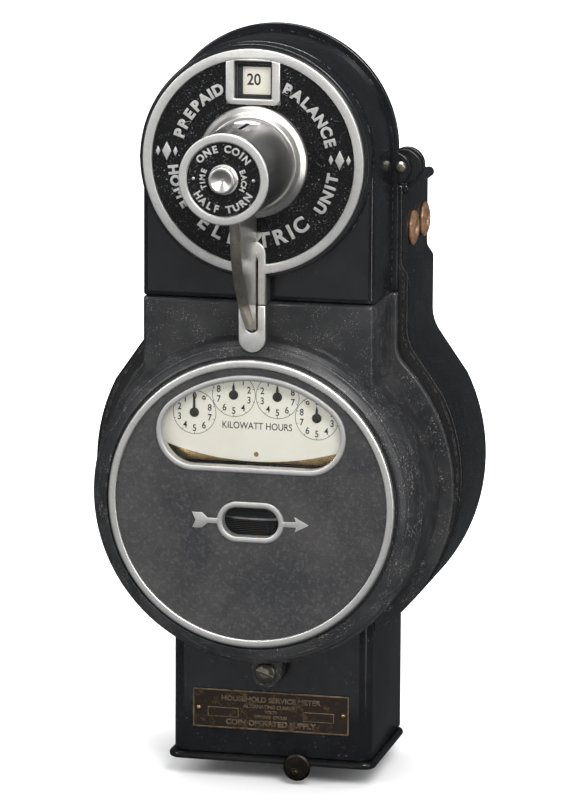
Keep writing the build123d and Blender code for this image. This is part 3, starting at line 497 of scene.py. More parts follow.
def plated(name, slot, light, dark, gloss, stretch, grain=0.35, spots=0.66):
    """Worn nickel: brushed one way, with cloudy dull patches and dark pits."""
    f = Finish(name, slot, Metallic=1.0)
    cloud = f.noise(7, 6, 0.65)
    tone = f.mix(f.ramp(cloud, (0.35, 0.0), (0.7, 1.0)), light, dark)
    pits = f.ramp(f.noise(0.9, 3, 0.6), (spots, 0.0), (spots + 0.04, 1.0))
    tone = f.mix(f.math("MULTIPLY", pits, 0.7), tone, (0.09, 0.08, 0.07))
    lines = f.noise(grain, 3, 0.6, stretch)
    dull = f.ramp(cloud, (0.3, gloss), (0.7, gloss + 0.2))
    rough = f.mix(0.55, dull, f.ramp(lines, (0.3, gloss), (0.8, gloss + 0.25)))
    return f.done(Base_Color=tone, Roughness=rough, Normal=f.bump(lines, 0.02, 0.35))


def polished(name, slot, colour, rough):
    """Smooth polished metal, with a breath of haze and a few pits."""
    f = Finish(name, slot, Metallic=1.0)
    haze = f.noise(14, 3, 0.4)
    tone = f.mix(f.ramp(haze, (0.35, 0.0), (0.75, 1.0)), colour, tuple(c * 0.84 for c in colour))
    pits = f.ramp(f.noise(0.8, 3, 0.6), (0.72, 0.0), (0.76, 0.6))
    tone = f.mix(pits, tone, (0.08, 0.075, 0.07))
    return f.done(Base_Color=tone, Roughness=f.ramp(haze, (0.3, rough), (0.8, rough + 0.05)))


def plain_metal(name, slot, colour, rough, grain=0.6, stretch=None):
    f = Finish(name, slot, Metallic=1.0)
    cloud = f.noise(5, 4)
    dark = tuple(c * 0.62 for c in colour)
    lines = f.noise(grain, 3, 0.6, stretch)
    tone = f.mix(f.ramp(cloud, (0.35, 0.0), (0.7, 1.0)), colour, dark)
    return f.done(Base_Color=tone, Roughness=f.ramp(lines, (0.3, rough), (0.75, rough + 0.2)),
                  Normal=f.bump(lines, 0.015, 0.3))


def leather_panel():
    """The grained black front: fine pebbles with faint wear."""
    f = Finish("panel leather black", "panel_black", Specular_IOR_Level=0.35)
    pebbles = f.cells(0.85)
    wrinkles = f.noise(2.0, 6, 0.75)
    cloud = f.noise(30, 5, 0.6)
    tone = f.mix(f.ramp(cloud, (0.35, 0.0), (0.7, 1.0)), (0.017, 0.0175, 0.0195), (0.036, 0.034, 0.033))
    tone = f.mix(f.ramp(wrinkles, (0.5, 0.0), (0.7, 0.55)), tone, (0.070, 0.0685, 0.068))
    height = f.math("ADD", f.math("MULTIPLY", pebbles, 0.35), wrinkles)
    rough = f.ramp(wrinkles, (0.3, 0.62), (0.7, 0.46))
    return f.done(Base_Color=tone, Roughness=rough, Normal=f.bump(height, 0.22, 1.0))


def grained_field():
    """The black field of the upper dial, sand-cast, with bright metal showing on its high points."""
    f = Finish("dial field black", "dial_black", Specular_IOR_Level=0.22)
    grit = f.noise(0.9, 4, 0.75)
    bright = f.ramp(grit, (0.62, 0.0), (0.68, 1.0))
    bright = f.math("MULTIPLY", bright, f.ramp(f.noise(5, 3), (0.40, 0.1), (0.62, 1.0)))
    tone = f.mix(f.math("MULTIPLY", bright, 0.8), (0.004, 0.004, 0.0045), (0.50, 0.50, 0.49))
    return f.done(Base_Color=tone, Roughness=f.ramp(grit, (0.35, 0.22), (0.7, 0.4)),
                  Normal=f.bump(grit, 0.12, 0.8))


def enamel_dial():
    """Cream enamel.  Its weak glow stands in for the light that is lost in the recess."""
    f = Finish("dial cream", "dial_cream", Specular_IOR_Level=0.4, Emission_Color=(1.0, 0.97, 0.86, 1.0),
               Emission_Strength=0.16)
    cloud = f.noise(14, 5, 0.6)
    tone = f.mix(f.ramp(cloud, (0.35, 0.0), (0.7, 1.0)), (0.97, 0.95, 0.83), (0.92, 0.89, 0.75))
    stains = f.ramp(f.noise(1.3, 3), (0.7, 0.0), (0.76, 0.35))
    tone = f.mix(stains, tone, (0.42, 0.36, 0.24))
    return f.done(Base_Color=tone, Roughness=f.ramp(cloud, (0.3, 0.4), (0.7, 0.52)),
                  Normal=f.bump(f.noise(0.8), 0.01, 0.3))


def printed_ink():
    f = Finish("print black", "pointer_black", Specular_IOR_Level=0.3)
    fade = f.noise(0.9, 4, 0.7)
    tone = f.ramp(fade, (0.3, (0.012, 0.012, 0.012)), (0.75, (0.06, 0.055, 0.05)))
    return f.done(Base_Color=tone, Roughness=f.ramp(fade, (0.3, 0.4), (0.7, 0.6)))


def old_bronze(name, brassy, patina, metal):
    """Brown patina rubbed back to brass on its high parts."""
    f = Finish(name, "bronze", Metallic=1.0)
    cloud = f.noise(5, 6, 0.7)
    fine = f.noise(0.6, 4, 0.7)
    tone = f.mix(f.ramp(cloud, (brassy, 0.0), (brassy + 0.16, 1.0)), patina, metal)
    tone = f.mix(f.ramp(fine, (0.58, 0.0), (0.7, 0.7)), tone, (0.035, 0.028, 0.022))
    rubbed = f.edges(0.3, 0.03, 0.2)
    tone = f.mix(f.math("MULTIPLY", rubbed, 0.7), tone, (0.42, 0.30, 0.16))
    rough = f.ramp(cloud, (0.35, 0.5), (0.7, 0.34))
    return f.done(Base_Color=tone, Roughness=rough, Normal=f.bump(fine, 0.05, 0.5))


def brown_moulding():
    f = Finish("bushing brown", "brown_fibre", Coat_Weight=0.35, Coat_Roughness=0.25, Metallic=0.35)
    cloud = f.noise(2.2, 5, 0.7)
    tone = f.ramp(cloud, (0.3, (0.06, 0.032, 0.018)), (0.5, (0.19, 0.105, 0.055)), (0.7, (0.34, 0.20, 0.11)))
    return f.done(Base_Color=tone, Roughness=f.ramp(cloud, (0.3, 0.35), (0.7, 0.5)),
                  Normal=f.bump(f.noise(0.5), 0.03, 0.4))


def clear_glass():
    f = Finish("window glass", "window_glass", Roughness=0.03, IOR=1.5)
    edge = f.add("ShaderNodeFresnel")
    edge.inputs["IOR"].default_value = 1.5
    film = f.noise(18, 4)
    tone = f.ramp(film, (0.3, (0.20, 0.21, 0.21)), (0.7, (0.12, 0.13, 0.13)))
    alpha = f.math("MAXIMUM", edge.outputs["Fac"], f.math("MULTIPLY", film, 0.05))
    f.material.surface_render_method = "BLENDED"
    return f.done(Base_Color=tone, Alpha=alpha)


def moulded(name, slot, colour, rough):
    f = Finish(name, slot)
    fine = f.noise(0.8, 3)
    tone = f.mix(f.ramp(f.noise(9), (0.35, 0.0), (0.7, 1.0)), colour, tuple(c * 1.6 for c in colour))
    return f.done(Base_Color=tone, Roughness=f.ramp(fine, (0.3, rough), (0.7, rough + 0.12)),
                  Normal=f.bump(fine, 0.03, 0.4))


def windings():
    """Varnished wire wound round a core, in fine turns."""
    f = Finish("copper windings", "copper_winding", Metallic=0.8, Coat_Weight=0.6, Coat_Roughness=0.2)
    wave = f.add("ShaderNodeTexWave", bands_direction="Z")
    f.feed(wave.inputs["Vector"], f.place)
    wave.inputs["Scale"].default_value = 320
    wave.inputs["Distortion"].default_value = 0.4
    tone = f.ramp(wave.outputs["Fac"], (0.2, (0.14, 0.045, 0.02)), (0.7, (0.55, 0.22, 0.09)))
    return f.done(Base_Color=tone, Roughness=f.ramp(wave.outputs["Fac"], (0.2, 0.5), (0.8, 0.28)),
                  Normal=f.bump(wave.outputs["Fac"], 0.15, 0.7))


ALONG_X, ALONG_Z, ALONG_Y = (0.06, 1, 1), (1, 1, 0.06), (1, 0.06, 1)
ENAMEL = black_paint("enamel gloss black", "black_enamel", (0.005, 0.0052, 0.006), 0.12, 0.70, 1.6, 0.56,
                     (0.009, 0.0092, 0.0105))
CAST_PAINT = black_paint("cover semi matt black", "cover_paint", (0.012, 0.0125, 0.0135), 0.3, 0.61, 1.1,
                         0.58, (0.026, 0.026, 0.027))
BASE_PAINT = black_paint("base black", "cover_paint", (0.005, 0.005, 0.0055), 0.17, 0.69, 1.3, 0.5,
                         (0.008, 0.0078, 0.0075))
DRAWER_PAINT = black_paint("drawer black", "coin_drawer_paint", (0.004, 0.004, 0.0045), 0.14, 0.7, 1.4, 0.36,
                           (0.008, 0.008, 0.008))
PANEL = leather_panel()
FIELD = grained_field()
RING_NICKEL = plated("nickel ring", "nickel", (0.93, 0.92, 0.90), (0.74, 0.73, 0.70), 0.36, ALONG_X, 0.3, 0.7)
NICKEL_BRIGHT = polished("nickel polished", "nickel", (0.82, 0.80, 0.76), 0.33)
HORN_NICKEL = plated("horn nickel", "nickel", (0.80, 0.74, 0.64), (0.50, 0.44, 0.36), 0.24, ALONG_Z, 0.25)
LETTER_METAL = plated("letter metal", "nickel", (0.94, 0.93, 0.91), (0.70, 0.69, 0.66), 0.36,
                      ALONG_X, 0.4, 0.66)
BARREL_METAL = polished("barrel nickel", "knob_nickel", (0.17, 0.167, 0.17), 0.3)
SCREW_METAL = plated("screw metal", "bronze", (0.50, 0.48, 0.40), (0.26, 0.235, 0.17), 0.26,
                     (1, 1, 1), 1.0, 0.6)
CREAM = enamel_dial()
INK = printed_ink()
BRONZE = old_bronze("bronze plate", 0.54, (0.080, 0.062, 0.050), (0.32, 0.205, 0.115))
BRONZE_WORN = old_bronze("bronze rubbed", 0.44, (0.40, 0.30, 0.20), (0.19, 0.145, 0.105))
BRONZE_DARK = old_bronze("bronze dark", 0.5, (0.030, 0.026, 0.022), (0.055, 0.045, 0.034))
BROWN = brown_moulding()
GLASS = clear_glass()
BRASS = plain_metal("brass machined", "brass", (0.72, 0.50, 0.22), 0.22)
STEEL = plain_metal("steel machined", "steel", (0.55, 0.55, 0.55), 0.22, 0.4, ALONG_Y)
ALLOY = plain_metal("rotor aluminium", "rotor_alloy", (0.80, 0.80, 0.81), 0.28, 0.3)
CASTING = moulded("casting black", "cast_black", (0.02, 0.02, 0.02), 0.5)
COMPOSITION = moulded("composition black", "black_moulding", (0.018, 0.017, 0.016), 0.4)
COPPER = windings()

CAD_FINISH = {
    ENAMEL: ["housing_back"],
    PANEL: ["front_panel"],
    FIELD: ["upper_dial_plate"],
    CREAM: ["register_dial", "credit_dial"],
    GLASS: ["register_glass", "disc_glass", "credit_glass"],
    BRASS: [
        "register_frame", "dial_wheel_1", "dial_wheel_2", "dial_wheel_3", "dial_wheel_4", "worm_wheel",
        "idler_gear", "terminal_screws", "rotor_bearings", "train_plate", "knob_bush", "inner_chute",
    ],
    STEEL: ["knob_shaft", "rotor_spindle", "switch_arm"],
    CASTING: ["meter_frame", "drag_magnets", "potential_core", "current_core"],
    COPPER: ["potential_coil", "current_coils"],
    ALLOY: ["rotor_disc"],
    COMPOSITION: ["terminal_block", "switch_base"],
    DRAWER_PAINT: ["coin_drawer"],
}
for finish, names in CAD_FINISH.items():
    for name in names:
        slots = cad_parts[name].data.materials
        for index in range(len(slots)):
            slots[index] = finish
        if not len(slots):
            slots.append(finish)


# ---- outlines --------------------------------------------------------------------------------
def drum_and_neck(radius, half, corner, top):
    """Outline function of a disc with a neck that rises to top; the inset draws it in all round."""
    centre_z = math.sqrt((radius + corner) ** 2 - (half + corner) ** 2)
    meet = math.degrees(math.atan2(centre_z, half + corner))

    def outline(inset):
        side = arc((0, 0), radius - inset, -90, meet, 72)
        side += arc((half + corner, centre_z), corner + inset, 180 + meet, 180, 14)[1:]
        turn = rounded([side[-1], (half - inset, top - inset), (0, top - inset)], max(1.2 - inset * 0.2, 0.4))
        side += spread(side[-1], turn[1], 8)[1:] + turn[1:-1]
        side += spread(turn[-2], turn[-1], 12)[1:] + [turn[-1]]
        return mirrored(side)

    return outline


def arch(half, bottom, centre_z):
    """Outline function of an upright slab with a round top."""
    def outline(inset):
        foot, wall = bottom + inset, half - inset
        corner = rounded([(0, foot), (wall, foot), (wall, centre_z)], max(1.2 - inset * 0.2, 0.4))
        side = spread(corner[0], corner[1], 12) + corner[1:-1] + spread(corner[-2], corner[-1], 14)[1:]
        return mirrored(side + arc((0, centre_z), wall, 0, 90, 40))

    return outline


def base_outline(inset):
    """The base: drum, flare, neck, shoulder and terminal chamber."""
    radius = BASE_R - inset
    foot = (91.0 - inset, 48.0)
    start = math.degrees(math.atan2(foot[1] - BASE_Z, foot[0]))
    side = arc((0, BASE_Z), radius, -90, start + 2, 72)
    neck, chamber = 69.5 - inset, 66.0 - inset
    top = 161.0 - inset
    side += rounded(
        [
            side[-1], (neck, 78.4, 22), (neck, 114.0, 4), (chamber, 119.0, 4), (chamber, top, 1.6), (0, top),
        ], 4, steps=6,
    )[1:]
    return mirrored(side)


def edge_round(radius, depth, way=1, steps=5):
    """Sections that round an edge: from the side wall to the face at depth.  way 1 is a front edge."""
    angles = [math.pi / 2 * i / steps for i in range(steps + 1)]
    return [(radius * (1 - math.cos(a)), depth - way * radius * (1 - math.sin(a))) for a in angles]


def wall_rings(outline, radius, centre, hole):
    """A side wall with a rounded front edge, and its front as far as a round hole with a short lip."""
    sections = [(0, BASE_FRONT + 0.4)] + edge_round(radius, NECK_FRONT)
    rings = [lay(outline(inset), depth) for inset, depth in sections]
    loop = on_circle(outline(radius), centre, hole)
    return rings + [lay(loop, depth) for depth in (NECK_FRONT, NECK_FRONT - 2.4)]


# ---- base, covers and box --------------------------------------------------------------------
def build_base():
    back = [(inset, depth) for inset, depth in reversed(edge_round(3.6, 0, way=-1))]
    walls = back + edge_round(1.6, BASE_FRONT)
    shell = stack(base_outline, walls + [(3.0, BASE_FRONT), (3.0, 4.2)])
    opening = drum_and_neck(85.5, 58.7, 8, 157)(0)
    ledge = plate([base_outline(2.4), opening], BASE_FRONT - 0.85, BASE_FRONT - 0.02, 0.05)
    screw_holes = [circle((x, z), 3.25, 32) for x in (-65, 65) for z in (-50, 50)]
    board = plate([base_outline(3.4)] + screw_holes, 0.05, 4.2, 0.3)
    parts = [shell, ledge, board]
    for side in (-1, 1):
        end = BASE_FRONT - 0.4
        bead = rounded([(0, 1.5), (2.7, 1.5), (2.7, end), (0, end)], 1.2)
        parts.append(lathe(bead, (side * 66.5, 158.3), steps=40))
        for depth in (57.5, 65.4):
            lug = rounded([(2.1, depth), (9.2, depth), (9.2, depth + 3.4), (2.1, depth + 3.4)], 0.8)
            parts.append(lathe(lug, (side * 66.5, 170.3), closed=True, steps=64))
        bridge = box_loop((side * 64.5, 161.6), (7, 4.4), 1.5)
        parts.append(plate([bridge], 57.5, 68.6, 0.5))
    piece("base_case", merged(parts), BASE_PAINT, stands_for=["rear_base"])


def build_bushings():
    parts = []
    for side in (-1, 1):
        for depth in (15.1, 44.4):
            profile = rounded(
                [
                    (4.2, 60), (7.0, 60), (7.0, 66), (9.2, 66), (9.2, 67.6), (4.9, BUSHINGS.right),
                    (4.2, 67.4),
                ], 0.9, True,
            )
            parts.append(lathe_sideways(profile, (134.6, depth), side))
    piece("wire_bushing_set", merged(parts), BROWN, stands_for=["wire_bushings"])


def build_cover():
    body = drum_and_neck(DRUM_R - 0.4, NECK_HALF, 12, SEAM_Z)
    shell = loft(wall_rings(body, 2.4, (0, 0), 82.5))
    moulding = rounded(
        [
            (84.0, BASE_FRONT + 0.5), (DRUM_R, BASE_FRONT + 0.5), (DRUM_R, NECK_FRONT - 0.6, 1.2),
            (86.4, NECK_FRONT + 1.6, 2.5), (85.6, NECK_FRONT + 5.6, 5), (81.4, NECK_FRONT + 10.2, 6),
            (79.0, 128.9, 1.2), (77.6, 129.7, 0.7), (77.1, 128.2, 0.3), (76.3, 128.2, 0.3), (76.1, 129.6),
            (70.0, 129.6), (70.0, 126.4), (83.0, 126.2), (84.0, 118.0),
        ], 1.0, True, 6,
    )
    drum = lathe(moulding, closed=True, steps=220)
    flange = drum_and_neck(95.5, 64.2, 15, SEAM_Z)
    flange_back = [(1.0, BASE_FRONT + 0.05), (0.3, BASE_FRONT + 0.3), (0, BASE_FRONT + 0.9)]
    flange_face = edge_round(1.9, FLANGE_FRONT) + [(9.0, BASE_FRONT + 3.6)]
    rim = stack(flange, flange_back + flange_face)
    ear = rounded([(8.5, -80), (8.5, SCREW.z)], 0) + arc((0, SCREW.z), 8.5, 0, -180, 24)[1:] + [(-8.5, -80)]
    ear_plate = plate([ear], BOX.front + 0.3, BOX.front + 12.2, 1.0)
    cover = merged([shell, drum, rim, ear_plate])
    piece("cover_shell", cover, CAST_PAINT, stands_for=["main_cover"])


def build_housing():
    outline = arch(NECK_HALF, SEAM_Z + 0.35, DIAL_Z)
    shell = loft(wall_rings(outline, 3.0, (0, DIAL_Z), 55))
    boss_profile = rounded(
        [
            (50.0, NECK_FRONT - 2), (BOSS_R, NECK_FRONT - 2), (BOSS_R, BOSS_FRONT - 0.2, 1.5),
            (58.4, BOSS_FRONT - 0.2), (50.0, BOSS_FRONT - 0.2),
        ], 0.4, True, 5,
    )
    boss = lathe(boss_profile, (0, DIAL_Z), closed=True, steps=200)
    flange = arch(64.2, SEAM_Z + 0.35, DIAL_Z + 0.8)
    flange_back = [(1.0, BASE_FRONT + 0.05), (0, BASE_FRONT + 0.7)]
    rim = stack(flange, flange_back + edge_round(0.9, FLANGE_FRONT) + [(9, FLANGE_FRONT)])
    ears = []
    for side in (-1, 1):
        ear = circle((side * 62, PINS.z - 0.8), 8.5, 48)
        ears.append(plate([ear], BASE_FRONT + 0.02, BASE_FRONT + 2.96, 0.6))
    housing = merged([shell, boss, rim] + ears)
    piece("housing_shell", housing, ENAMEL, stands_for=["upper_housing"])


def build_pins():
    parts = []
    for side in (-1, 1):
        head = rounded(
            [
                (0, 73.9), (2.2, 73.7, 0.8), (3.1, 72.6, 0.5), (3.1, 71.6), (2.05, 71.6), (2.05, 56.4),
                (0, 56.4),
            ], 0.3,
        )
        parts.append(lathe(head, (side * 65.5, PINS.z), steps=40))
    piece("seal_pin_set", merged(parts), SCREW_METAL, stands_for=["seal_pins"])


def build_box():
    """The lower box: a folded sheet with rounded front corners, open at the bottom."""
    def plan(inset, z):
        half, back, front = BOX.right - inset, BOX.back + inset, BOX.front - inset
        turn = 7 - inset
        loop = rounded([(-half, back), (half, back), (half, front, turn), (-half, front, turn)], 0.5, True, 8)
        return [at(x, z, depth) for x, depth in loop]

    top, foot = -68.0, BOX.bottom
    rings = [plan(2, foot), plan(0.6, foot), plan(0.2, foot + 0.2), plan(0, foot + 0.6), plan(0, foot + 30)]
    rings += [plan(0, top), plan(2, top), plan(2, foot + 30)]
    piece("box_shell", loft(rings, closed=True), ENAMEL, stands_for=["lower_box"])


def build_tab():
    radius, face = 7.4, TAB.front
    disc = rounded(
        [
            (0, face - 1.6), (6.2, face - 1.6, 0.8), (radius, face - 2.3, 0.6), (radius, TAB.back),
            (0, TAB.back),
        ], 0.4,
    )
    rivet = rounded([(0, face), (1.7, face - 0.3, 1.2), (2.6, face - 1.2, 0.6), (2.6, face - 2.2)], 0.4)
    parts = [
        lathe(disc, (TAB.x, TAB.bottom + radius), steps=96),
        lathe(rivet, (TAB.x - 1, TAB.bottom + 4.4), steps=48),
    ]
    piece("tab_with_rivet", merged(parts), BRONZE_DARK, "coin_drawer", ["drawer_tab"])


# ---- rings, frames and plates ----------------------------------------------------------------
def build_cover_ring():
    outer, inner = RING.half_x, RING.half_x - 4.0
    back, front = RING.back, RING.front
    profile = rounded([(inner, back), (outer, back), (outer, front, 1.1), (inner, front, 0.7)], 0.2, True)
    ring = lathe(profile, closed=True, steps=220)
    piece("ring_round_cover", ring, RING_NICKEL, stands_for=["cover_ring"])


def build_upper_ring():
    """The upper ring and the upper chute plate are one piece of metal, with the coin slot up its middle."""
    outer, inner, half = UPPER_RING.half_x, UPPER_RING.half_x - 4.9, CHUTE_HALF
    low, round_z, back, front = SEAM_Z + 0.4, 131.0, UPPER_RING.front - 2.9, UPPER_RING.front
    slot, slot_top = SLOT_HALF, 130.5
    leave = math.degrees(math.asin(half / outer))
    enter = math.degrees(math.asin(half / inner))
    outside = arc((0, DIAL_Z), outer, -90 + leave, 270 - leave, 160) + [(-half, low), (-slot, low)]
    outside += arc((0, slot_top - slot), slot, 180, 0, 12) + [(slot, low), (half, low)]
    inside = arc((0, DIAL_Z), inner, -90 + enter, 270 - enter, 160)
    inside += arc((0, round_z), half, 180, 0, 20)
    parts = [plate([outside, inside], back, front, 0.45)]
    # Black rails and thin black liners behind the plate are painted shade: dark parts put where the slot
    # shows only its shadowed depth.
    shade_rails = []
    for side in (-1, 1):
        rail_x, rail_wide = side * (half + CHANNEL_HALF) / 2, half - CHANNEL_HALF - 0.3
        rail = box_loop((rail_x, (low + 119) / 2), (rail_wide, 119 - low), 0.4)
        shade_rails.append(plate([rail], NECK_FRONT, back + 0.5, 0.2))
        shade_liner = box_loop((side * 1.75, (low + slot_top - 1) / 2), (0.35, slot_top - 1 - low), 0.05)
        shade_rails.append(plate([shade_liner], 113.6, back, 0.05))
    piece("ring_upper", merged(parts), RING_NICKEL, stands_for=["upper_ring"])
    piece("shade_rails_upper", merged(shade_rails), CASTING)
    fork = []
    for side in (-1, 1):
        corners = ((0.0, 134.6), (0.9, 134.6), (4.6, 140.2), (3.4, 141.2), (0.0, 137.2))
        web = [(side * x, z) for x, z in corners][::-side]
        fork.append(plate([web], DIAL_PLATE.front - 0.2, DIAL_PLATE.front + 0.7, 0.2))
    piece("fork_upper", merged(fork), LETTER_METAL)


def build_lower_plate():
    half, top, round_z = CHUTE_HALF, SEAM_Z - 0.2, LOWER_PLATE.bottom + CHUTE_HALF
    slot_foot, thin_back = round_z + 6.3, UPPER_RING.front - 2.6

    def slotted(half, slot):
        loop = arc((0, round_z), half, 180, 360, 24) + [(half, top), (slot, top)]
        return loop + arc((0, slot_foot), slot, 0, -180, 10) + [(-slot, top), (-half, top)]

    face = plate([slotted(half, SLOT_HALF)], thin_back, UPPER_RING.front, 0.5)
    piece("plate_lower_chute", face, RING_NICKEL, stands_for=["lower_chute_plate"])
    # The black pad behind the thin plate is painted shade: through the wider slot it shows as the shadowed
    # depth beside the horn.
    shade_pad = plate([slotted(half - 0.3, CHANNEL_HALF)], NECK_FRONT + 0.2, thin_back + 0.05, 0.2)
    piece("shade_pad_lower_chute", shade_pad, CASTING)


def register_loop(inset):
    """The register window: an arc above, a straight foot and round shoulders."""
    radius, half, corner = 68.0 - inset, REGISTER_FRAME.right - inset, 20.0 - inset
    foot = REGISTER_FRAME.bottom + inset
    turn_x = half - corner
    upper_z = math.sqrt((radius - corner) ** 2 - turn_x**2)
    meet = math.degrees(math.atan2(upper_z, turn_x))
    side = spread((0, foot), (turn_x, foot), 8) + arc((turn_x, foot + corner), corner, -90, 0, 16)
    side += arc((turn_x, upper_z), corner, 0, meet, 16) + arc((0, 0), radius, meet, 90, 24)[1:]
    return mirrored(side)


def disc_loop(inset):
    return stadium((0, DISC_PANE.z), 17.9 - inset, 10.7 - inset)


def build_frames():
    face = REGISTER_FRAME.front
    for name, loop in (("frame_register", register_loop), ("frame_rotor", disc_loop)):
        rings = []
        for inset, depth in ((0, face - 2), (0, face - 0.5), (0.25, face - 0.12), (0.7, face), (2.3, face),
                             (2.8, face - 0.2), (3.0, face - 0.7), (3.0, face - 6.0), (2.4, face - 6.0)):
            rings.append(lay(loop(inset), depth))
        node = "register_window_frame" if loop is register_loop else "disc_window_frame"
        piece(name, loft(rings, closed=True), RING_NICKEL, stands_for=[node])


def build_arrow():
    z, face = DISC_PANE.z, DISC_FRAME.front
    half, shaft = 4.1, 1.4
    tip, start = 31, 17.6
    head = [
        (23.4, z - half), (tip, z), (23.4, z + half), (24.2, z + shaft), (start, z + shaft),
        (start, z - shaft), (24.2, z - shaft),
    ]
    tail = [
        (-start, z + shaft), (-22.8, z + shaft), (-25.8, z + half), (-tip, z + half), (-29.3, z),
        (-tip, z - half), (-25.8, z - half), (-22.8, z - shaft), (-start, z - shaft),
    ]
    parts = [plate([loop], face - 1.2, face - 0.35, 0.15) for loop in (head, list(reversed(tail)))]
    piece("rotation_arrow", merged(parts), RING_NICKEL)


# ---- upper dial ------------------------------------------------------------------------------
def build_dial_lettering():
    centre, face = (0, DIAL_Z), DIAL_PLATE.front
    rows = [
        ("PREPAID", 40.5, 139, 7.6, 0.80, True), ("BALANCE", 41.5, 40, 7.8, 0.80, True),
        ("ELECTRIC", 41.0, 270, 10.6, 0.86, False), ("HOME", 42.5, 200, 7.0, 0.82, False),
        ("UNIT", 42.5, 339, 7.8, 0.86, False),
    ]
    parts = []
    for words, radius, middle, size, step, foot_in in rows:
        parts += arc_text(words, centre, radius, middle, size, face, 1.4, 0.28, step, foot_in)
    for x, z in ((-45.4, DIAL_Z + 4.0), (45.4, DIAL_Z + 2.4)):
        parts.append(plate([lozenge(x, z, 2.4, 5.0)], face - 0.2, face + 0.7, 0.2))
        for leaf_x in (x - 4.6, x + 4.6):
            parts.append(plate([lozenge(leaf_x, z, 1.2, 2.6)], face - 0.2, face + 0.6, 0.15))
    piece("dial_lettering", merged(parts), LETTER_METAL)


def build_credit_window():
    left, right, low, high = -9.9, 9.9, 210.9, 230.4
    reach = UPPER_RING.half_x - 4.9
    foot = CREDIT_FRAME.bottom
    edge = CREDIT_FRAME.right
    side = rounded([(0, foot), (edge, foot, 3.2), (edge, DIAL_Z + 49.4)], 0.3, steps=6)
    start = math.degrees(math.acos(edge / reach))
    outside = mirrored(side[:-1] + arc((0, DIAL_Z), reach, start, 90, 16))
    hole = box_loop((0, (low + high) / 2), (right - left, high - low), 0.7)
    frame_plate = plate([outside, hole], BOSS_FRONT, CREDIT_FRAME.front, 0.4)
    piece("frame_credit", frame_plate, RING_NICKEL, stands_for=["credit_window_frame"])
    rings = []
    for inset, depth in ((-0.3, BOSS_FRONT), (0.0, BOSS_FRONT), (0.0, 122.4), (-0.3, 122.4)):
        loop = box_loop((0, (low + high) / 2), (right - left - 2 * inset, high - low - 2 * inset), 0.7)
        rings.append(lay(loop, depth))
    # The black mask round the figure, wider at the top and left, is painted shade: it stands for the shadow
    # inside the window's recess.
    shade_mask_loops = [box_loop((0, 220.6), (19.6, 19.4), 0.5), box_loop((0.4, 219.6), (14.6, 14.2), 0.6)]
    shade_mask = plate(shade_mask_loops, 121.6, 122.3, 0.1)
    recess = merged([loft(rings, closed=True), shade_mask])
    piece("credit_recess", recess, CASTING)


def build_credit_figures():
    """Twenty figures on the credit dial, one to every eighteen degrees."""
    parts = []
    for i in range(20):
        angle = 92.4 + 18 * i
        x = 41.0 * math.cos(math.radians(angle))
        z = DIAL_Z + 41.0 * math.sin(math.radians(angle))
        figure = str((20 + i) if i < 10 else i)
        parts.append(straight_text(figure, x, z, CREDIT_DIAL.front, 8.2, 0.12, 0.12, 0.9, angle - 92.4))
    piece("credit_figures", merged(parts), INK, "credit")


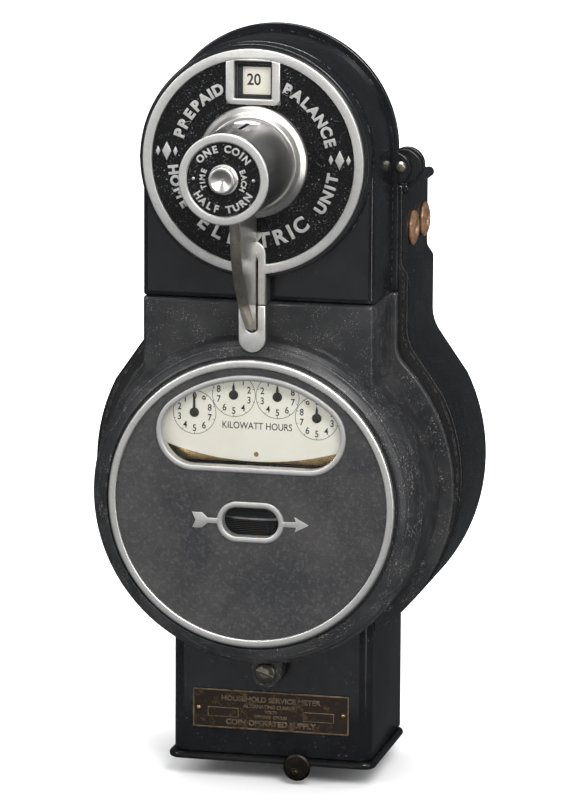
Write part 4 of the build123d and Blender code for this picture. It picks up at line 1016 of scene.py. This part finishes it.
# ---- knob ------------------------------------------------------------------------------------
def build_knob():
    axis = (0, DIAL_Z)
    flare = rounded(
        [
            (6.2, FLARE.back), (28.7, FLARE.back), (29.0, 129.2, 0.6), (28.4, 130.4, 1.0), (25.6, 132.2, 3.0),
            (24.0, FLARE.front, 0.5), (6.2, FLARE.front),
        ], 0.3, True, 6,
    )
    piece("flare_knob", lathe(flare, axis, True), NICKEL_BRIGHT, stands_for=["knob_flare"])

    radius = BARREL.half_x
    body = rounded(
        [
            (0, BARREL.back), (radius - 1, BARREL.back, 0.6), (radius, BARREL.back + 1.2, 0.6),
            (radius, BARREL.front - 3.4, 0.8), (radius - 0.9, BARREL.front - 2.6, 0.5),
            (radius - 0.9, BARREL.front - 1.2, 0.5), (radius, BARREL.front - 0.6, 0.3),
            (radius, BARREL.front), (0, BARREL.front),
        ], 0.3, steps=4,
    )
    slit = plate([box_loop((0, DIAL_Z + 14), (2.4, 26), 0.4)], 140.5, 169.5, 0.1)
    scoop = loft(
        [
            [at(x, DIAL_Z + up, depth) for x, up in ((-7, foot), (7, foot), (7, 32), (-7, 32))]
            for depth, foot in ((138.4, 23.5), (141, 20.9), (168.6, 20.9), (171.4, 23.5))
        ], start_cap=True, end_cap=True,
    )
    barrel = carve(lathe(body, axis), slit, scoop)
    piece("barrel_knob", barrel, BARREL_METAL, "knob", ["knob_barrel"], angle=28)

    rim = FACE.half_x
    plate_profile = rounded(
        [
            (0, FACE.back), (rim, FACE.back, 0.3), (rim, FACE.front, 0.7), (19.3, FACE.front, 0.3),
            (18.9, FACE.front - 0.75, 0.1), (0, FACE.front - 0.75),
        ], 0.2, steps=4,
    )
    piece("face_knob", lathe(plate_profile, axis), RING_NICKEL, "knob", ["knob_face"])

    floor = FACE.front - 0.75
    low, high = floor - 0.1, floor + 0.14
    field = rounded([(7.6, low), (7.6, high, 0.1), (18.8, high, 0.1), (18.8, low)], 0.05)
    piece("field_knob", lathe(field, axis), FIELD, "knob")
    ring_words = (("ONE COIN", 90, True), ("HALF TURN", 270, False))
    words = []
    for text, middle, foot_in in ring_words:
        words += arc_text(text, axis, 15.4, middle, 5.0, floor + 0.3, 0.6, 0.12, 0.86, foot_in)
    words += arc_text("EACH", axis, 10.6, 0, 3.8, floor + 0.3, 0.6, 0.08, 0.82)
    words += arc_text("TIME", axis, 10.6, 180, 3.8, floor + 0.3, 0.6, 0.08, 0.82)
    for angle in (0, 180):
        x, z = 15.4 * math.cos(math.radians(angle)), DIAL_Z
        star = rounded([(0, floor + 0.6), (0.7, floor + 0.5, 0.2), (0.9, floor)], 0.1)
        words.append(lathe(star, (x, z), steps=24))
    piece("lettering_knob", merged(words), LETTER_METAL, "knob")

    hexagon = [(7.2 * math.cos(a), DIAL_Z + 7.2 * math.sin(a)) for a in (math.pi / 3 * i for i in range(6))]
    nut = plate([rounded(hexagon, 0.5, True)], NUT.back, NUT.front, 0.4)
    piece("nut_knob", nut, NICKEL_BRIGHT, "knob", ["knob_nut"])
    cap = rounded(
        [
            (0, CAP.back), (6.5, CAP.back, 0.3), (6.95, CAP.back + 1.2, 0.5), (6.5, CAP.front, 0.8),
            (5.3, CAP.front, 0.6), (0.9, CAP.front - 2.6, 0.4), (0, CAP.front - 2.4),
        ], 0.3, steps=5,
    )
    piece("cap_knob", lathe(cap, axis), NICKEL_BRIGHT, "knob", ["knob_cap"])


# ---- coin horn -------------------------------------------------------------------------------
def smooth_curve(points, steps):
    """Points along a smooth curve through the given ones (Catmull-Rom)."""
    ends = [tuple(2 * a - b for a, b in zip(points[0], points[1]))]
    tail = [tuple(2 * a - b for a, b in zip(points[-1], points[-2]))]
    chain = [Vector(p) for p in ends + list(points) + tail]
    result = []
    for i in range(1, len(chain) - 2):
        p0, p1, p2, p3 = chain[i - 1:i + 3]
        for j in range(steps):
            t = j / steps
            result.append(0.5 * ((2 * p1) + (p2 - p0) * t + (2 * p0 - 5 * p1 + 4 * p2 - p3) * t**2
                                 + (3 * p1 - p0 - 3 * p2 + p3) * t**3))
    return result + [chain[-2]]


def build_horn():
    """A curved channel: a front band that bulges a little, and two flat side walls behind it."""
    half, back = HORN.half_x, HORN.back
    middle = [(162.5, 130.2), (151.0, 111.5), (141.0, 100.6)]
    line = smooth_curve([(HORN.front, HORN.top)] + middle + [(back + 0.4, 91.6)], 16)
    ahead, behind = line[1:] + line[-1:], line[:1] + line[:-1]
    tangents = [(b - a).normalized() for a, b in zip(behind, ahead)]
    section = rounded([(-half, 0), (-half, -1.7), (half, -1.7), (half, 0), (0, 0.35)], 0.35, True, 3)
    rings = []
    for point, way in zip(line, tangents):
        out = Vector((-way.y, way.x))
        left = min((point - line[-1]).length / half, 1.0)
        narrow = max(math.sqrt(1 - (1 - left) ** 2), 0.25)
        rings.append([at(x * narrow, point.y + out.y * lift, point.x + out.x * lift) for x, lift in section])
    band = loft(rings, start_cap=True, end_cap=True)
    piece("horn_band", band, HORN_NICKEL, stands_for=["coin_horn"])
    walls = []
    for side in (-1, 1):
        inner = [(p.x - 0.4, p.y + 0.35) for p in line]
        outline = inner[1:] + [(back + 0.1, 92.0), (back + 0.1, 149.6), (136.2, 152.6)] + [(140.0, HORN.top)]
        rings = [[at(side * x, z, d) for d, z in outline] for x in (half - 1.1, half - 0.4)]
        walls.append(loft(rings, start_cap=True, end_cap=True))
    piece("horn_walls", merged(walls), NICKEL_BRIGHT, bevel=0.15)


# ---- register --------------------------------------------------------------------------------
def build_register_print():
    """Four printed circles with their figures, numbered alternately one way and the other."""
    parts = []
    face = REGISTER_DIAL.front
    for i, pointer in enumerate(POINTERS):
        x, z = pointer.x, pointer.bottom + 2.5
        outer = rounded([(11.3, face), (11.3, face + 0.06), (11.55, face + 0.06), (11.55, face)], 0)
        parts.append(lathe(outer, (x, z), closed=True, steps=96))
        way = 1 if i % 2 == 0 else -1
        for figure in range(10):
            angle = 90 + way * 36 * figure
            radius = 8.5
            px, pz = x + radius * math.cos(math.radians(angle)), z + radius * math.sin(math.radians(angle))
            parts.append(straight_text(str(figure), px, pz, face, 5.0, 0.1, 0.05, 0.86))
            ray = math.radians(angle)
            tick = [(x + r * math.cos(ray + s), z + r * math.sin(ray + s))
                    for r, s in ((10.5, -0.012), (11.4, -0.012), (11.4, 0.012), (10.5, 0.012))]
            parts.append(plate([tick], face - 0.02, face + 0.06, 0.01))
    parts.append(straight_text("KILOWATT HOURS", 0.8, 39.2, face, 5.1, 0.1, 0.0, 0.84))
    piece("register_print", merged(parts), INK)


def build_pointers():
    for i, pointer in enumerate(POINTERS):
        x, z, face = pointer.x, pointer.bottom + 2.5, pointer.back
        length = pointer.top - z
        neck = z + length - 2.4
        blade = [(x - 0.75, z), (x + 0.75, z), (x + 0.55, neck), (x, z + length), (x - 0.55, neck)]
        hub = rounded(
            [
                (0, face + 1.3), (1.3, face + 1.3, 0.3), (2.2, face + 0.95, 0.4), (2.5, face + 0.3),
                (2.5, face), (0, face),
            ], 0.2,
        )
        parts = [plate([blade], face + 0.2, face + 0.75, 0.1), lathe(hub, (x, z), steps=48)]
        piece(f"hand_{i + 1}", merged(parts), INK, f"dial_{i + 1}", [f"pointer_{i + 1}"])
    face = REGISTER_DIAL.front
    dot = rounded([(0, face + 0.5), (1.0, face + 0.4, 0.3), (1.3, face)], 0.2)
    piece("register_screw", lathe(dot, (0.4, 24.4), steps=32), BRASS)


# ---- nameplate and screw ---------------------------------------------------------------------
def build_nameplate():
    x, z, back, front = NAMEPLATE.half_x, NAMEPLATE.half_z, NAMEPLATE.back, NAMEPLATE.front
    sheet = plate([box_loop((0, NAMEPLATE.z), (2 * x, 2 * z), 0.8)], back, front - 0.3, 0.15)
    border = plate(
        [box_loop((0, NAMEPLATE.z), (2 * x, 2 * z), 0.8),
         box_loop((0, NAMEPLATE.z), (2 * x - 1.8, 2 * z - 1.8), 0.5)], front - 0.4, front, 0.12,
    )
    centre, face = NAMEPLATE.z, front - 0.15
    rows = [
        ("HOUSEHOLD SERVICE METER", 5.9, 3.8, 1.08, 0.06), ("ALTERNATING CURRENT", 2.2, 2.6, 1.0, 0.02),
        ("VOLTS", -0.6, 2.2, 1.0, 0.02), ("AMPERES  CYCLES", -3.3, 2.2, 1.0, 0.02),
        ("COIN OPERATED SUPPLY", -7.0, 4.0, 1.08, 0.07),
    ]
    text = []
    for words, up, size, wide, heavy in rows:
        text.append(straight_text(words, 0, centre + up, face, size, 0.35, heavy, wide))
    for side in (-1, 1):
        box = box_loop((side * 26, centre - 1.8), (17, 5.4), 0.5)
        hollow = box_loop((side * 26, centre - 1.8), (16, 4.4), 0.4)
        text.append(plate([box, hollow], front - 0.4, front - 0.05, 0.08))
    piece("plate_name", merged([sheet]), BRONZE, stands_for=["nameplate"])
    piece("plate_raised", merged([border] + text), BRONZE_WORN)
    pins = []
    for side in (-1, 1):
        head = rounded([(0, front + 0.75), (0.9, front + 0.6, 0.4), (1.4, front), (1.4, front - 0.5)], 0.2)
        pins.append(lathe(head, (side * 39.4, centre), steps=32))
    piece("plate_pins", merged(pins), BRASS, stands_for=["nameplate_pins"])


def build_cover_screw():
    front = SCREW.front
    head = rounded(
        [
            (0, front + 0.1), (2.6, front - 0.1, 2.0), (4.9, front - 0.9, 1.2), (5.7, front - 2.2, 0.4),
            (5.7, 94.3), (2.2, 94.3), (2.2, 76.3), (0, 76.3),
        ], 0.3, steps=5,
    )
    turn = math.radians(-20)
    across, along = math.cos(turn), math.sin(turn)
    corners = ((-8, -0.65), (8, -0.65), (8, 0.65), (-8, 0.65))
    ring = [(a * across - b * along, a * along + b * across) for a, b in corners]
    rings = [[at(x, SCREW.z + z, depth) for x, z in ring] for depth in (front - 1.1, front + 2)]
    slot = loft(rings, start_cap=True, end_cap=True)
    screw = carve(lathe(head, (0, SCREW.z), steps=64), slot)
    piece("screw_cover", screw, SCREW_METAL, stands_for=["cover_screw"], angle=28)


build_base()
build_bushings()
build_cover()
build_housing()
build_pins()
build_box()
build_tab()
build_cover_ring()
build_upper_ring()
build_lower_plate()
build_frames()
build_arrow()
build_dial_lettering()
build_credit_window()
build_credit_figures()
build_knob()
build_horn()
build_register_print()
build_pointers()
build_nameplate()
build_cover_screw()


# ---- floor, light and camera -----------------------------------------------------------------
def build_floor():
    """A white sweep that stays in shadow only close to the meter.  From below it can be seen through."""
    f = Finish("studio floor", "none", Roughness=0.7, Specular_IOR_Level=0.1)
    away = f.add("ShaderNodeVectorMath", operation="LENGTH")
    f.feed(away.inputs[0], f.stretched((1, 1, 0)))
    glow = f.ramp(away.outputs["Value"], (0.22, 0.0), (0.60, 1.0))
    f.feed(f.shader.inputs["Emission Color"], (1.0, 1.0, 1.0))
    under = f.add("ShaderNodeNewGeometry").outputs["Backfacing"]
    f.feed(f.shader.inputs["Alpha"], f.math("SUBTRACT", 1.0, under))
    material = f.done(Base_Color=f.ramp(f.noise(400, 3), (0.3, 0.90), (0.7, 0.92)), Emission_Strength=glow)
    side, near, far, low = 3.2, -0.34, 5.0, cad_bounds[0][2] - 0.003
    mesh = bpy.data.meshes.new("floor")
    corners = [(-side, near, low), (side, near, low), (side, far, low), (-side, far, low)]
    mesh.from_pydata(corners, [], [(0, 1, 2, 3)])
    mesh.materials.append(material)
    floor = bpy.data.objects.new("floor", mesh)
    scene.collection.objects.link(floor)
    floor.visible_glossy = False


def softbox(name, place, target, size, power):
    light = bpy.data.lights.new(name, "AREA")
    light.shape = "RECTANGLE"
    light.size, light.size_y = size
    light.energy = power
    lamp = bpy.data.objects.new(name, light)
    lamp.location = place
    lamp.rotation_euler = (Vector(target) - Vector(place)).to_track_quat("-Z", "Y").to_euler()
    scene.collection.objects.link(lamp)


def build_light():
    """A white surround for the eye, a dim one for reflections, and five soft lamps."""
    world = bpy.data.worlds.new("studio")
    scene.world = world
    world.use_nodes = True
    nodes, links = world.node_tree.nodes, world.node_tree.links
    seen = nodes["Background"]
    seen.inputs["Color"].default_value = (1, 1, 1, 1)
    seen.inputs["Strength"].default_value = 1.0
    path = nodes.new("ShaderNodeLightPath")
    result = seen
    rays = (("Is Diffuse Ray", (1, 1, 1, 1), 0.9), ("Is Glossy Ray", (0.85, 0.92, 1.0, 1), 0.07))
    for kind, colour, strength in rays:
        felt = nodes.new("ShaderNodeBackground")
        felt.inputs["Color"].default_value = colour
        felt.inputs["Strength"].default_value = strength
        mix = nodes.new("ShaderNodeMixShader")
        links.new(path.outputs[kind], mix.inputs["Fac"])
        links.new(result.outputs[0], mix.inputs[1])
        links.new(felt.outputs["Background"], mix.inputs[2])
        result = mix
    links.new(result.outputs[0], nodes["World Output"].inputs["Surface"])
    middle = (0, -0.1, 0.05)
    softbox("key", (0.75, -1.7, 1.25), middle, (0.8, 0.8), 40)
    softbox("fill", (-1.3, -1.5, 0.9), middle, (0.7, 0.7), 13)
    softbox("front", (-0.5, -2.2, -0.3), middle, (1.3, 1.0), 2.0)
    softbox("top", (0.0, -0.25, 1.6), middle, (1.2, 0.6), 24)
    softbox("right", (1.5, -0.95, 0.25), middle, (0.12, 1.5), 7)


def build_camera():
    """The view of the reference: a long lens from the right and above."""
    azimuth, elevation, roll = (math.radians(v) for v in (13.08, 11.11, 0.31))
    flat = math.cos(elevation)
    back = Vector((math.sin(azimuth) * flat, -math.cos(azimuth) * flat, math.sin(elevation)))
    level = Vector((math.cos(azimuth), math.sin(azimuth), 0))
    rise = back.cross(level)
    right = level * math.cos(roll) + rise * math.sin(roll)
    up = rise * math.cos(roll) - level * math.sin(roll)
    data = bpy.data.cameras.new("camera")
    data.sensor_fit = "VERTICAL"
    data.sensor_height = 36
    data.lens = 223.05
    data.clip_end = 20
    camera = bpy.data.objects.new("camera", data)
    place = Vector((0.58479, -2.56648, 0.54716))
    turn = Matrix((right, up, back)).transposed()
    camera.matrix_world = Matrix.Translation(place) @ turn.to_4x4()
    scene.collection.objects.link(camera)
    scene.camera = camera
    scene.view_settings.view_transform = "Standard"


build_floor()
build_light()
build_camera()
